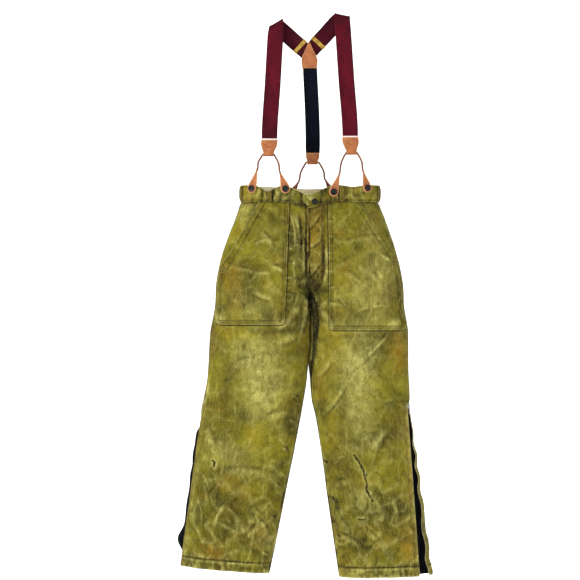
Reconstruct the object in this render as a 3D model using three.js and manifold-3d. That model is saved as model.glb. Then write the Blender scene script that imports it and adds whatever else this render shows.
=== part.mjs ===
// Canvas work trousers with zip-open legs, hanging by their button-on braces.
// Millimetres, +Z up, +X to the wearer's left, the front faces -Y. The origin is the line
// over which the braces hang. Heights (h) below are counted up from the lower hem.
import * as THREE from 'three';
import { mergeVertices } from 'three/addons/utils/BufferGeometryUtils.js';
import Module from 'manifold-3d';

const wasm = await Module();
wasm.setup();

// Driving heights.
const REST_HEIGHT = 1453;
const WAIST_TOP = 1018;
const WAIST_SEAM = 976;
const FLY_BOTTOM = 752;
const CROTCH = 733;
const THIGH_CUT = 634;
const LEG_CUT = 520;
const ZIP_TOP = 455;
const FADE_HEIGHT = 850;

// Cloth, ribbon and leather thicknesses.
const CANVAS = 1.6;
const LINING = 1.0;
const GAP = 0.4;
const PATCH_GAP = 1.6;
const WEBBING = 1.8;
const LEATHER = 2.2;
const STRAP_WIDTH = 38;
const CORD_DIAMETER = 4.6;
const ROUNDNESS = 2.5;

// Braces: the straps lean away from the hanging line by this much per mm of drop.
const BRACE_SPREAD = 0.124;
const FOLD_HALF_DEPTH = 6;

// Zips.
const CHAIN_WIDTH = 6;
const CHAIN_THICKNESS = 1.6;
const CHAIN_CLEARANCE = 0.5;
const SLIDER_LENGTH = 13;
const SLIDER_WIDTH = 12;
const SLIDER_WALL = 0.9;
const PULL_LENGTH = 24;

// Half depth of the cloth, front to back, by height.
const HALF_DEPTH = [[1020, 58], [976, 59], [900, 63], [806, 67], [CROTCH, 69], [634, 66], [520, 58],
  [455, 55], [0, 47]];

// Each leg: how far its outer and inner edges stand from the centre line, by height. An inner
// edge below zero crosses the centre line, so that the two legs join there as one body.
const RIGHT_LEG = {
  name: 'right',
  side: -1,
  hem: 20,
  outer: [[1020, 173], [976, 182], [936, 192], [876, 215], [806, 236], [757, 244], [710, 246],
    [634, 259], [520, 266], [455, 278], [320, 305], [90, 336], [0, 338]],
  inner: [[1020, -173], [976, -182], [900, -190], [850, -165], [806, -118], [770, -50], [745, -8],
    [CROTCH, 0.6], [634, 1], [521, 9], [450, 19], [374, 33], [0, 110]],
  zipTop: { front: 0.03, back: 0.26 },
  zipHem: { front: 0.1, back: 0.66 },
};
const LEFT_LEG = {
  name: 'left',
  side: 1,
  hem: 3,
  outer: [[1020, 173], [976, 179], [932, 194], [850, 222], [784, 238], [743, 243], [710, 244],
    [634, 255], [520, 256], [455, 259], [330, 273], [195, 290], [82, 307], [0, 315]],
  inner: [[1020, -173], [976, -179], [900, -188], [850, -163], [806, -118], [770, -50], [745, -8],
    [CROTCH, 0.6], [634, 1], [520, 1], [463, 5], [419, 15], [330, 30], [203, 47], [0, 77]],
  zipTop: { front: 0.4, back: 0.03 },
  zipHem: { front: 0.8, back: 0.12 },
};
const LEGS = [RIGHT_LEG, LEFT_LEG];

// The braces' own places: x from the centre line, h as above.
const BRACES = [
  {
    name: 'right', foldX: -88.4, foldH: 1443, foldSlope: 0.52, endX: -105, endH: 1134,
    yokeX: -7, yokeH: 1367, yokeDepth: 2.6, barX: -107.8, barH: 1096.5, barHalf: 13,
    tabs: [{ x: -149, h: 1009, neckX: -131.6, neckH: 1059 }, { x: -63, h: 1007, neckX: -78, neckH: 1050 }],
  },
  {
    name: 'left', foldX: 84, foldH: 1463, foldSlope: -0.21, endX: 103.7, endH: 1141,
    yokeX: 3, yokeH: 1373, yokeDepth: 5.2, barX: 107, barH: 1100.5, barHalf: 13,
    tabs: [{ x: 60, h: 999, neckX: 75.7, neckH: 1047 }, { x: 146, h: 1010, neckX: 132.6, neckH: 1056 }],
  },
];
const BACK_BRACE = {
  topX: -0.4, topH: 1344, endX: 7.9, endH: 1105, barX: 7.3, barH: 1082, barHalf: 16,
  tabs: [{ x: -51, h: 993, neckX: -28.6, neckH: 1033 }, { x: 63, h: 995, neckX: 40, neckH: 1039 }],
};
const TAB_RADIUS = 11;
const TAB_HOLE = 3;
const BRACE_BUTTON_RADIUS = 8.7;
const WAIST_BUTTON_RADIUS = 8.2;

function paint(color, roughness, metalness = 0) {
  return new THREE.MeshStandardMaterial({ color, roughness, metalness });
}
const CANVAS_PAINT = paint(0x857a32, 0.85);
const CANVAS_DARK_PAINT = paint(0x6c6428, 0.88);
const LINING_PAINT = paint(0xb9b08a, 0.9);
const MAROON_PAINT = paint(0x561428, 0.55);
const NAVY_PAINT = paint(0x0b0e1e, 0.7);
const LEATHER_PAINT = paint(0xc07a3c, 0.6);
const DARK_LEATHER_PAINT = paint(0x6a4038, 0.65);
const BUTTON_PAINT = paint(0x17140f, 0.35);
const BRASS_PAINT = paint(0xb9993c, 0.35, 1);
const STEEL_PAINT = paint(0xb8b8b4, 0.35, 1);
const TAPE_PAINT = paint(0xc9c4ae, 0.7);
const GUSSET_PAINT = paint(0x14161c, 0.8);

const whole = new THREE.Group();
whole.position.z = -REST_HEIGHT;

function add(name, geometry, material, parent = whole) {
  const mesh = new THREE.Mesh(geometry, material);
  mesh.name = name;
  parent.add(mesh);
  return mesh;
}

// ---- small maths ----

function along(table, h) {
  const last = table.length - 1;
  if (h >= table[0][0]) return table[0][1];
  for (let i = 0; i < last; i++) {
    const [upper, upperValue] = table[i];
    const [lower, lowerValue] = table[i + 1];
    if (h >= lower) return upperValue + ((lowerValue - upperValue) * (upper - h)) / (upper - lower);
  }
  return table[last][1];
}

const power = (value, exponent) => Math.sign(value) * Math.abs(value) ** exponent;
const bump = (x, centre, width) => Math.exp(-(((x - centre) / width) ** 2));

// The waistband sags at the fly and between the two right-hand brace buttons.
const seamSag = (x) => 16 * bump(x, -4, 38);
function topSag(x, face) {
  if (face > 0) return 6 * bump(x, 0, 70);
  return 25 * bump(x, -4, 42) + 17 * bump(x, -108, 22) + 5 * bump(x, 110, 25);
}

// Everything sewn below the waist seam hangs down with it, less and less to FADE_HEIGHT.
function settled(x, face, h) {
  if (face > 0) return h;
  const fade = THREE.MathUtils.clamp((h - FADE_HEIGHT) / (WAIST_SEAM - FADE_HEIGHT), 0, 1);
  return h - seamSag(x) * fade;
}

// ---- the cloth surface: a superellipse at each height ----

function sectionAt(leg, h) {
  const outer = along(leg.outer, h);
  const inner = along(leg.inner, h);
  return { centre: (outer + inner) / 2, halfWidth: (outer - inner) / 2, halfDepth: along(HALF_DEPTH, h) };
}

// t runs from 0 at the side seam to pi at the inner edge.
function clothPoint(leg, face, h, t) {
  const { centre, halfWidth, halfDepth } = sectionAt(leg, h);
  const x = centre + halfWidth * power(Math.cos(t), 2 / ROUNDNESS);
  const y = face * halfDepth * power(Math.sin(t), 2 / ROUNDNESS);
  return new THREE.Vector3(leg.side * x, y, settled(leg.side * x, face, h));
}

function angleAt(leg, h, x) {
  const { centre, halfWidth } = sectionAt(leg, h);
  const ratio = THREE.MathUtils.clamp((x - centre) / halfWidth, -1, 1);
  return Math.acos(power(ratio, ROUNDNESS / 2));
}

function seamAngle(leg, h) {
  return Math.asin(((GAP / 2) / sectionAt(leg, h).halfDepth) ** (ROUNDNESS / 2));
}

function innerAngle(leg, h, centreGap) {
  const closed = Math.PI - seamAngle(leg, h);
  return Math.min(closed, angleAt(leg, h, centreGap));
}

// A point of the cloth at a signed x across both legs, moved out along the normal.
function surfaceAt(x, face, h, outward = 0) {
  const leg = x < 0 ? RIGHT_LEG : LEFT_LEG;
  const t = angleAt(leg, h, Math.abs(x));
  const here = clothPoint(leg, face, h, t);
  const next = clothPoint(leg, face, h, t + 0.01);
  const run = next.sub(here);
  const normal = new THREE.Vector3(run.y, -run.x, 0).normalize();
  if (normal.y * face < 0) normal.negate();
  return here.clone().addScaledVector(normal, outward);
}

// ---- closed solids from grids of points ----

function closedMesh(vertices, triangles) {
  const geometry = new THREE.BufferGeometry();
  const places = vertices.flatMap((vertex) => vertex.toArray());
  geometry.setAttribute('position', new THREE.Float32BufferAttribute(places, 3));
  let volume = 0;
  for (const [a, b, c] of triangles) {
    volume += vertices[a].dot(new THREE.Vector3().crossVectors(vertices[b], vertices[c]));
  }
  geometry.setIndex(triangles.flatMap(([a, b, c]) => (volume < 0 ? [a, c, b] : [a, b, c])));
  geometry.computeVertexNormals();
  return geometry;
}

// A sheet between two grids of the same size. A closed sheet joins its last column to its first.
function sheet(outer, inner, closed = false) {
  const rows = outer.length;
  const columns = outer[0].length;
  const vertices = [...outer.flat(), ...inner.flat()];
  const under = rows * columns;
  const at = (i, j) => i * columns + (j % columns);
  const triangles = [];
  const quad = (a, b, c, d) => triangles.push([a, b, c], [a, c, d]);
  const lastColumn = closed ? columns : columns - 1;
  for (let i = 0; i < rows - 1; i++) {
    for (let j = 0; j < lastColumn; j++) {
      quad(at(i, j), at(i, j + 1), at(i + 1, j + 1), at(i + 1, j));
      quad(under + at(i, j), under + at(i + 1, j), under + at(i + 1, j + 1), under + at(i, j + 1));
    }
  }
  for (let j = 0; j < lastColumn; j++) {
    quad(at(0, j + 1), at(0, j), under + at(0, j), under + at(0, j + 1));
    quad(at(rows - 1, j), at(rows - 1, j + 1), under + at(rows - 1, j + 1), under + at(rows - 1, j));
  }
  if (!closed) {
    for (let i = 0; i < rows - 1; i++) {
      quad(at(i, 0), at(i + 1, 0), under + at(i + 1, 0), under + at(i, 0));
      const [upper, lower] = [at(i, columns - 1), at(i + 1, columns - 1)];
      quad(lower, upper, under + upper, under + lower);
    }
  }
  return closedMesh(vertices, triangles);
}

// Each grid point moved along the grid's own normal; a positive distance is away from the leg's core.
function offsetGrid(grid, cores, distance, closed = false) {
  return grid.map((row, i) => row.map((point, j) => {
    const columns = row.length;
    const before = closed ? row[(j + columns - 1) % columns] : row[Math.max(j - 1, 0)];
    const after = closed ? row[(j + 1) % columns] : row[Math.min(j + 1, columns - 1)];
    const above = grid[Math.max(i - 1, 0)][j];
    const below = grid[Math.min(i + 1, grid.length - 1)][j];
    const run = after.clone().sub(before);
    const drop = below.clone().sub(above);
    const normal = new THREE.Vector3().crossVectors(run, drop).normalize();
    const away = point.clone().sub(cores[i]);
    away.z = 0;
    if (normal.dot(away) < 0) normal.negate();
    return point.clone().addScaledVector(normal, distance);
  }));
}

const coreAt = (leg, h) => new THREE.Vector3(leg.side * Math.max(sectionAt(leg, h).centre, 20), 0, h);

// A ribbon: a strip of rectangular section through stations { at, across, width }.
function ribbon(stations, thickness) {
  const outer = [];
  const inner = [];
  stations.forEach((station, i) => {
    const before = stations[Math.max(i - 1, 0)];
    const after = stations[Math.min(i + 1, stations.length - 1)];
    const run = after.at.clone().sub(before.at).normalize();
    const across = station.across.clone().normalize();
    const normal = new THREE.Vector3().crossVectors(run, across).normalize();
    const edges = [-0.5, 0.5].map((side) => station.at.clone().addScaledVector(across, side * station.width));
    outer.push(edges.map((edge) => edge.clone().addScaledVector(normal, thickness / 2)));
    inner.push(edges.map((edge) => edge.clone().addScaledVector(normal, -thickness / 2)));
  });
  return sheet(outer, inner);
}

// ---- joins and cuts ----

function solidOf(geometry) {
  const bare = geometry.clone();
  bare.deleteAttribute('normal');
  bare.deleteAttribute('uv');
  const merged = mergeVertices(bare, 1e-4);
  return new wasm.Manifold(new wasm.Mesh({
    numProp: 3,
    vertProperties: merged.attributes.position.array,
    triVerts: new Uint32Array(merged.index.array),
  }));
}

function geometryOf(solid) {
  const made = solid.getMesh();
  const geometry = new THREE.BufferGeometry();
  geometry.setAttribute('position', new THREE.Float32BufferAttribute(made.vertProperties, 3));
  geometry.setIndex([...made.triVerts]);
  geometry.computeVertexNormals();
  return geometry;
}

const joined = (geometries) => geometryOf(geometries.map(solidOf).reduce((a, b) => a.add(b)));
const cutBy = (geometry, tool) => geometryOf(solidOf(geometry).subtract(solidOf(tool)));

function block(width, depth, height, x = 0, y = 0, z = 0) {
  return new THREE.BoxGeometry(width, depth, height).translate(x, y, z);
}

// A turned piece about +Z from (radius, height) corners.
function turned(corners, segments = 12) {
  const profile = corners.map(([radius, height]) => new THREE.Vector2(radius, height));
  return new THREE.LatheGeometry(profile, segments).rotateX(Math.PI / 2);
}

function plate(shape, thickness, curveSegments = 6) {
  return new THREE.ExtrudeGeometry(shape, { depth: thickness, bevelEnabled: false, curveSegments });
}

function tube(points, radius, steps, sides = 8) {
  const section = new THREE.Shape();
  for (let i = 0; i < sides; i++) {
    const turn = (i / sides) * Math.PI * 2;
    const corner = [radius * Math.cos(turn), radius * Math.sin(turn)];
    if (i === 0) section.moveTo(...corner);
    else section.lineTo(...corner);
  }
  section.closePath();
  const extrudePath = new THREE.CatmullRomCurve3(points);
  return new THREE.ExtrudeGeometry(section, { steps, extrudePath, bevelEnabled: false });
}

// ---- trouser cloth ----

// The straight edges of each zip opening, from its top to the hem.
function zipEdge(leg, face) {
  const key = face < 0 ? 'front' : 'back';
  const top = clothPoint(leg, face, ZIP_TOP, leg.zipTop[key]);
  const bottom = clothPoint(leg, face, leg.hem, leg.zipHem[key]);
  return (h) => bottom.clone().lerp(top, (h - leg.hem) / (ZIP_TOP - leg.hem));
}

function panelGrid(leg, face, heights, columns) {
  const edge = zipEdge(leg, face);
  const key = face < 0 ? 'front' : 'back';
  return heights.map((h) => {
    const open = h <= ZIP_TOP;
    const share = (h - leg.hem) / (ZIP_TOP - leg.hem);
    const openAngle = THREE.MathUtils.lerp(leg.zipHem[key], leg.zipTop[key], share);
    const start = open ? openAngle : seamAngle(leg, h);
    const end = innerAngle(leg, h, centreGapAt(leg, face, h));
    const angles = Array.from({ length: columns + 1 }, (_, j) => start + ((end - start) * j) / columns);
    const row = angles.map((t) => clothPoint(leg, face, h, t));
    if (open) {
      const shift = edge(h).sub(row[0]);
      row.forEach((point, j) => point.addScaledVector(shift, (1 - j / columns) ** 3));
    }
    return row;
  });
}

const FLY_SLIT_HALF = 7.4;
const FLY_ZIP_BOTTOM = 795;
function centreGapAt(leg, face, h) {
  return face < 0 && h >= FLY_ZIP_BOTTOM ? FLY_SLIT_HALF : GAP / 2;
}

function panel(leg, face, heights, columns) {
  const outer = panelGrid(leg, face, heights, columns);
  const inner = offsetGrid(outer, heights.map((h) => coreAt(leg, h)), -CANVAS);
  inner.flat().forEach((point) => {
    point.y = face * Math.max(face * point.y, GAP / 2);
    point.x = leg.side * Math.max(leg.side * point.x, GAP / 2);
  });
  return sheet(outer, inner);
}

const UPPER_ROWS = [WAIST_SEAM - 2 * GAP, 940, 900, 850, FLY_ZIP_BOTTOM, FLY_ZIP_BOTTOM - 4, 770, 757, 745,
  CROTCH, 710, THIGH_CUT + GAP];
const UPPER_COLUMNS = 13;
const LOWER_COLUMNS = 12;
for (const leg of LEGS) {
  const lowerRows = [LEG_CUT - GAP, ZIP_TOP + 0.3, ZIP_TOP, 390, 310, 220, 130, 65, leg.hem];
  for (const face of [-1, 1]) {
    const label = `${face < 0 ? 'front' : 'back'}_panel_${leg.name}`;
    add(`${label}_upper`, panel(leg, face, UPPER_ROWS, UPPER_COLUMNS), CANVAS_PAINT);
    add(`${label}_lower`, panel(leg, face, lowerRows, LOWER_COLUMNS), CANVAS_PAINT);
  }
  const bendRows = [THIGH_CUT, 596, 558, LEG_CUT];
  const loop = 26;
  const outer = bendRows.map((h) => Array.from({ length: loop }, (_, j) => {
    const turn = (j / loop) * Math.PI * 2;
    return clothPoint(leg, turn < Math.PI ? -1 : 1, h, turn < Math.PI ? turn : 2 * Math.PI - turn);
  }));
  const inner = offsetGrid(outer, bendRows.map((h) => coreAt(leg, h)), -CANVAS, true);
  add(`thigh_bend_${leg.name}`, sheet(outer, inner, true), CANVAS_PAINT);
}

// ---- waistband ----

const FLY_EDGE = -8;
const BAND_COLUMNS = 44;

// The band runs from the fly edge round the back to the fly edge again.
function bandGrid(grow, drop) {
  const start = FLY_EDGE + GAP / 2;
  const end = FLY_EDGE - GAP / 2;
  const rows = [0, 0.5, 1];
  return rows.map((share) => Array.from({ length: BAND_COLUMNS + 1 }, (_, j) => {
    const from = waistTurn(start);
    const turn = from + ((waistTurn(end) + 2 * Math.PI - from) * j) / BAND_COLUMNS;
    const flat = waistPoint(turn, grow);
    const face = Math.sin(turn) < 0 ? -1 : 1;
    const low = WAIST_SEAM - (face < 0 ? seamSag(flat.x) : 0);
    const high = WAIST_TOP - topSag(flat.x, face) * Math.min(1, Math.abs(flat.y) / 12) - drop;
    return new THREE.Vector3(flat.x, flat.y, high + (low - high) * share);
  }));
}

// turn 0 is the wearer's left side, and a quarter turn on is the back.
function waistPoint(turn, grow) {
  const halfWidth = 179 + grow;
  const halfDepth = 59 + grow;
  const lean = 2 / ROUNDNESS;
  const x = halfWidth * power(Math.cos(turn), lean);
  const y = halfDepth * power(Math.sin(turn), lean);
  return new THREE.Vector3(x, y, 0);
}

function waistTurn(x) {
  return -Math.acos(power(x / 179, ROUNDNESS / 2));
}

function bandSolid(grow, thickness, drop = 0) {
  return sheet(bandGrid(grow, drop), bandGrid(grow - thickness, drop));
}

add('waistband', bandSolid(1.4, 2.4), CANVAS_PAINT);
add('waistband_lining', bandSolid(-1.4, LINING, 2), LINING_PAINT);

// ---- belt loops ----

const BELT_GAP = 7;
const BELT_LOOP_WIDTH = 11;
function beltLoop(name, turn) {
  const flat = waistPoint(turn, 1.4);
  const ahead = waistPoint(turn + 0.01, 1.4);
  const across = ahead.sub(flat).normalize();
  const normal = new THREE.Vector3(across.y, -across.x, 0);
  const face = Math.sin(turn) < 0 ? -1 : 1;
  const low = WAIST_SEAM - (face < 0 ? seamSag(flat.x) : 0);
  const high = WAIST_TOP - topSag(flat.x, face) * Math.min(1, Math.abs(flat.y) / 12);
  const foot = 1.9;
  const arch = BELT_GAP + 1.8;
  const profile = [[high - 1.5, foot], [high - 4, foot], [high - 6.5, arch], [low + 5, arch],
    [low + 2.5, foot], [low, foot]];
  const stations = profile.map(([h, out]) => ({
    at: new THREE.Vector3(flat.x, flat.y, h).addScaledVector(normal, out),
    across,
    width: BELT_LOOP_WIDTH,
  }));
  add(name, ribbon(stations, 2), CANVAS_DARK_PAINT);
}
beltLoop('belt_loop_front_right', waistTurn(-104));
beltLoop('belt_loop_front_left', waistTurn(81));
beltLoop('belt_loop_side_right', Math.PI - 0.02);
beltLoop('belt_loop_side_left', 0.02);
beltLoop('belt_loop_back', Math.PI / 2 + 0.02);

// ---- patches on the cloth: pockets and fly ----

// Rows are [h, outer x, inner x] on one leg, x from the centre line.
function patch(leg, face, rows, columns, gap, thickness) {
  const base = rows.map(([h, outerX, innerX]) => {
    const from = angleAt(leg, h, outerX);
    const to = angleAt(leg, h, innerX);
    const angles = Array.from({ length: columns + 1 }, (_, j) => from + ((to - from) * j) / columns);
    return angles.map((t) => clothPoint(leg, face, h, t));
  });
  const cores = rows.map(([h]) => coreAt(leg, h));
  return sheet(offsetGrid(base, cores, gap + thickness), offsetGrid(base, cores, gap));
}

// Front patch pocket: slanted hand opening, straight sides, rounded lower corners.
function frontPocket(leg, { slantTop, slantBottom, innerTop, innerBottom, bottom }) {
  const cornerRadius = 16;
  const top = WAIST_SEAM - 4;
  const sideMargin = 6;
  const heights = [top, 930, 890, 850, 820, slantBottom[0], 765, 730, 695, bottom + cornerRadius,
    bottom + 0.5 * cornerRadius, bottom + 0.13 * cornerRadius, bottom];
  const rows = heights.map((h) => {
    const down = Math.max(0, (bottom + cornerRadius - h) / cornerRadius);
    const corner = cornerRadius * (1 - Math.sqrt(Math.max(0, 1 - down * down)));
    const slant = THREE.MathUtils.mapLinear(h, top, slantBottom[0], slantTop, slantBottom[1]);
    const seam = along(leg.outer, h) - sideMargin;
    const outerX = Math.min(h > slantBottom[0] ? slant : seam, seam) - corner;
    const innerX = THREE.MathUtils.mapLinear(h, top, bottom, innerTop, innerBottom) + 0.6 * corner;
    return [h, outerX, innerX];
  });
  add(`front_pocket_${leg.name}`, patch(leg, -1, rows, 12, PATCH_GAP, CANVAS), CANVAS_PAINT);
}
const RIGHT_POCKET = { slantTop: 133, slantBottom: [797, 230], innerTop: 53, innerBottom: 65, bottom: 656 };
const LEFT_POCKET = { slantTop: 128, slantBottom: [825, 224], innerTop: 46, innerBottom: 50, bottom: 642 };
frontPocket(RIGHT_LEG, RIGHT_POCKET);
frontPocket(LEFT_LEG, LEFT_POCKET);

// Back patch pocket: five-sided.
function backPocket(leg) {
  const middle = 118;
  const half = 72;
  const reaches = [[905, half], [870, half - 1], [830, half - 2], [790, half - 4], [752, half - 6],
    [738, half - 28]];
  const rows = reaches.map(([h, reach]) => [h, middle + reach, middle - reach]);
  add(`back_pocket_${leg.name}`, patch(leg, 1, rows, 8, PATCH_GAP, CANVAS), CANVAS_PAINT);
}
LEGS.forEach(backPocket);

// Fly flap: the left front laps over the right, and its stitched edge curves in at the foot.
function flyGrid(outward) {
  const flapWidth = 41;
  const heights = [WAIST_SEAM - 2, 940, 900, 860, 820, 795, 780, 768, 758, FLY_BOTTOM];
  const curveFrom = 795;
  return heights.map((h) => {
    const down = Math.max(0, (curveFrom - h) / (curveFrom - FLY_BOTTOM));
    const width = flapWidth * Math.sqrt(Math.max(0, 1 - down * down)) + 4;
    return Array.from({ length: 7 }, (_, j) => {
      const x = FLY_EDGE + (width * j) / 6;
      return surfaceAt(x, -1, h, outward);
    });
  });
}
add('fly_flap', sheet(flyGrid(0.9 + CANVAS), flyGrid(0.9)), CANVAS_PAINT);

// ---- zips ----

// A sliding zip body in its own frame: x across, z up the chain, -y outwards.
function sliderGeometry(chainWidth, gapBetweenChains) {
  const inside = CHAIN_THICKNESS / 2 + CHAIN_CLEARANCE;
  const plateMiddle = inside + SLIDER_WALL / 2;
  const post = gapBetweenChains - 1;
  const bridgeTop = -(inside + SLIDER_WALL + 2.9);
  const pieces = [
    block(SLIDER_WIDTH, SLIDER_WALL, SLIDER_LENGTH, 0, plateMiddle, 0),
    block(SLIDER_WIDTH, SLIDER_WALL, SLIDER_LENGTH, 0, -plateMiddle, 0),
    block(post, 2 * inside + SLIDER_WALL, 5, 0, 0, 3),
    block(1.5, 1, 9, 0, bridgeTop + 0.5, 0),
    block(1.5, 3.4, 1.2, 0, -(inside + SLIDER_WALL + 1.2), 3.9),
    block(1.5, 3.4, 1.2, 0, -(inside + SLIDER_WALL + 1.2), -3.9),
  ];
  return joined(pieces);
}

const PIVOT_OUT = CHAIN_THICKNESS / 2 + CHAIN_CLEARANCE + SLIDER_WALL + 1;
const PIVOT_UP = 1.2;

// The pull hangs from a bar under the slider's bridge, which is the pull's own origin.
function pullGeometry() {
  const ring = cutBy(block(7, 1.1, 9, 0, 0, -3.9), block(3.4, 3, 6.6, 0, 0, -3.9));
  const handle = new THREE.Shape();
  handle.moveTo(-2.6, -8);
  handle.lineTo(2.6, -8);
  handle.lineTo(3.4, -PULL_LENGTH + 3);
  handle.quadraticCurveTo(0, -PULL_LENGTH - 3, -3.4, -PULL_LENGTH + 3);
  handle.closePath();
  const tab = plate(handle, 1.1, 4).translate(0, 0, -0.55).rotateX(Math.PI / 2);
  return joined([ring, tab]);
}

// A group whose z runs up the chain and whose -y looks out of the cloth.
function chainFrame(at, up, outward) {
  const frame = new THREE.Group();
  const z = up.clone().normalize();
  const x = new THREE.Vector3().crossVectors(z, outward).normalize();
  const y = new THREE.Vector3().crossVectors(z, x).normalize();
  frame.setRotationFromMatrix(new THREE.Matrix4().makeBasis(x, y, z));
  frame.position.copy(at);
  whole.add(frame);
  return frame;
}

const CHAIN_SPACING = 2.4;
const CHAIN_STANDOFF = 1.6;
const GUSSET_DEPTH = 5.5;
for (const leg of LEGS) {
  const front = zipEdge(leg, -1);
  const back = zipEdge(leg, 1);
  const heights = [ZIP_TOP - 1, 400, 340, 270, 195, 130, 65, leg.hem + 2];
  const acrossAt = (h) => back(h).sub(front(h)).normalize();
  const up = front(ZIP_TOP).sub(front(leg.hem)).normalize();
  const stationsOf = (edge, sign) => heights.map((h) => {
    const across = acrossAt(h);
    return {
      at: edge(h).addScaledVector(across, sign * (CHAIN_STANDOFF + CHAIN_WIDTH / 2)),
      across,
      width: CHAIN_WIDTH,
    };
  });
  const frontAcross = acrossAt(ZIP_TOP);
  const frontStations = [ZIP_TOP - 1, leg.hem + 2].map((h) => ({
    at: front(h).addScaledVector(frontAcross, CHAIN_STANDOFF + CHAIN_WIDTH / 2),
    across: frontAcross,
    width: CHAIN_WIDTH,
  }));
  add(`leg_zip_front_chain_${leg.name}`, ribbon(frontStations, CHAIN_THICKNESS), TAPE_PAINT);
  add(`leg_zip_back_chain_${leg.name}`, ribbon(stationsOf(back, -1), CHAIN_THICKNESS), TAPE_PAINT);

  const outward = new THREE.Vector3().crossVectors(frontAcross, up).normalize();
  if (outward.x * leg.side < 0) outward.negate();
  const sliderAt = front(ZIP_TOP - 10)
    .addScaledVector(frontAcross, CHAIN_STANDOFF + CHAIN_WIDTH + CHAIN_SPACING / 2);
  const frame = chainFrame(sliderAt, up, outward);
  add(`leg_zip_slider_${leg.name}`, sliderGeometry(CHAIN_WIDTH, CHAIN_SPACING), STEEL_PAINT, frame);
  const pull = add(`leg_zip_pull_${leg.name}`, pullGeometry(), STEEL_PAINT, frame);
  pull.position.set(0, -PIVOT_OUT, PIVOT_UP);

  const gussetRows = heights.map((h) => {
    const from = front(h);
    const to = back(h);
    const across = acrossAt(h);
    const inward = new THREE.Vector3().crossVectors(across, up).normalize();
    if (inward.x * leg.side > 0) inward.negate();
    const width = from.distanceTo(to);
    return [0, 0.25, 0.5, 0.75, 1].map((share) => {
      const depth = GUSSET_DEPTH + 0.3 * width * Math.sin(Math.PI * share);
      return from.clone().addScaledVector(across, width * share).addScaledVector(inward, depth);
    });
  });
  const cores = heights.map((h) => coreAt(leg, h));
  add(`leg_gusset_${leg.name}`, sheet(gussetRows, offsetGrid(gussetRows, cores, -LINING)), GUSSET_PAINT);
}

// Fly zip, behind the flap and in front of the shield.
const flyTop = surfaceAt(0, -1, WAIST_SEAM - 22);
const flyFoot = surfaceAt(0, -1, FLY_ZIP_BOTTOM + 4);
const FLY_CHAIN_BEHIND = 3.6;
flyTop.y += FLY_CHAIN_BEHIND;
flyFoot.y += FLY_CHAIN_BEHIND;
const flyAcross = new THREE.Vector3(1, 0, 0);
const flyStations = [flyTop, flyFoot].map((at) => ({ at, across: flyAcross, width: CHAIN_WIDTH }));
add('fly_zip_chain', ribbon(flyStations, CHAIN_THICKNESS), BRASS_PAINT);
const flyUp = flyTop.clone().sub(flyFoot).normalize();
const flyFrame = chainFrame(flyTop.clone().addScaledVector(flyUp, -10), flyUp, new THREE.Vector3(0, -1, 0));
const flySliderInside = CHAIN_THICKNESS / 2 + 0.3;
function flySliderGeometry() {
  const outer = block(9, 2 * flySliderInside + 1.6, SLIDER_LENGTH);
  const tunnel = block(CHAIN_WIDTH + 0.8, 2 * flySliderInside, SLIDER_LENGTH + 2);
  return cutBy(outer, tunnel);
}
add('fly_zip_slider', flySliderGeometry(), BRASS_PAINT, flyFrame);
const flyPull = add('fly_zip_pull', plate(pullOutline(), 0.9, 4).rotateX(Math.PI / 2), BRASS_PAINT, flyFrame);
flyPull.position.set(0, -(flySliderInside + 0.8 + 0.3), 0);

function pullOutline() {
  const outline = new THREE.Shape();
  outline.moveTo(-2.4, 2);
  outline.lineTo(2.4, 2);
  outline.lineTo(2.8, -16);
  outline.quadraticCurveTo(0, -20, -2.8, -16);
  outline.closePath();
  return outline;
}

function shieldGrid(behind) {
  const ends = [flyTop.clone().add(new THREE.Vector3(0, 0, 14)), flyFoot];
  return ends.map((end) => [-16, 0, 20].map((x) => new THREE.Vector3(x, end.y + behind, end.z)));
}
add('fly_shield', sheet(shieldGrid(3.2), shieldGrid(3.2 + CANVAS)), CANVAS_DARK_PAINT);

// ---- buttons ----

// Turned about the outward normal; the shank passes through cloth or a leather tab.
function buttonGeometry(radius, stand) {
  return turned([[0, 0], [2, 0], [2, stand], [radius - 1, stand], [radius, stand + 1.1],
    [radius - 0.6, stand + 2.9], [radius - 2.6, stand + 3.1], [radius - 3.6, stand + 2.2], [0, stand + 2.2]]);
}

function facing(at, normal) {
  const group = new THREE.Group();
  group.position.copy(at);
  group.quaternion.setFromUnitVectors(new THREE.Vector3(0, 0, 1), normal);
  whole.add(group);
  return group;
}

function onWaist(x, face, h, outward) {
  const turn = face < 0 ? waistTurn(x) : -waistTurn(x);
  const flat = waistPoint(turn, 1.4);
  const ahead = waistPoint(turn + 0.01, 1.4).sub(flat);
  const normal = new THREE.Vector3(ahead.y, -ahead.x, 0).normalize();
  return { at: new THREE.Vector3(flat.x, flat.y, h).addScaledVector(normal, outward), normal };
}

const waistButton = onWaist(11.5, -1, 974, 0.4);
const waistButtonFrame = facing(waistButton.at, waistButton.normal);
add('waist_button', buttonGeometry(WAIST_BUTTON_RADIUS, 0.8), BUTTON_PAINT, waistButtonFrame);

// ---- braces ----

const leanAt = (h) => FOLD_HALF_DEPTH + BRACE_SPREAD * (REST_HEIGHT - h);
const frontPlane = (x, h) => new THREE.Vector3(x, -leanAt(h), h);
const backPlane = (x, h, depth = 0) => new THREE.Vector3(x, leanAt(h) + depth, h);
const X_AXIS = new THREE.Vector3(1, 0, 0);

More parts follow.
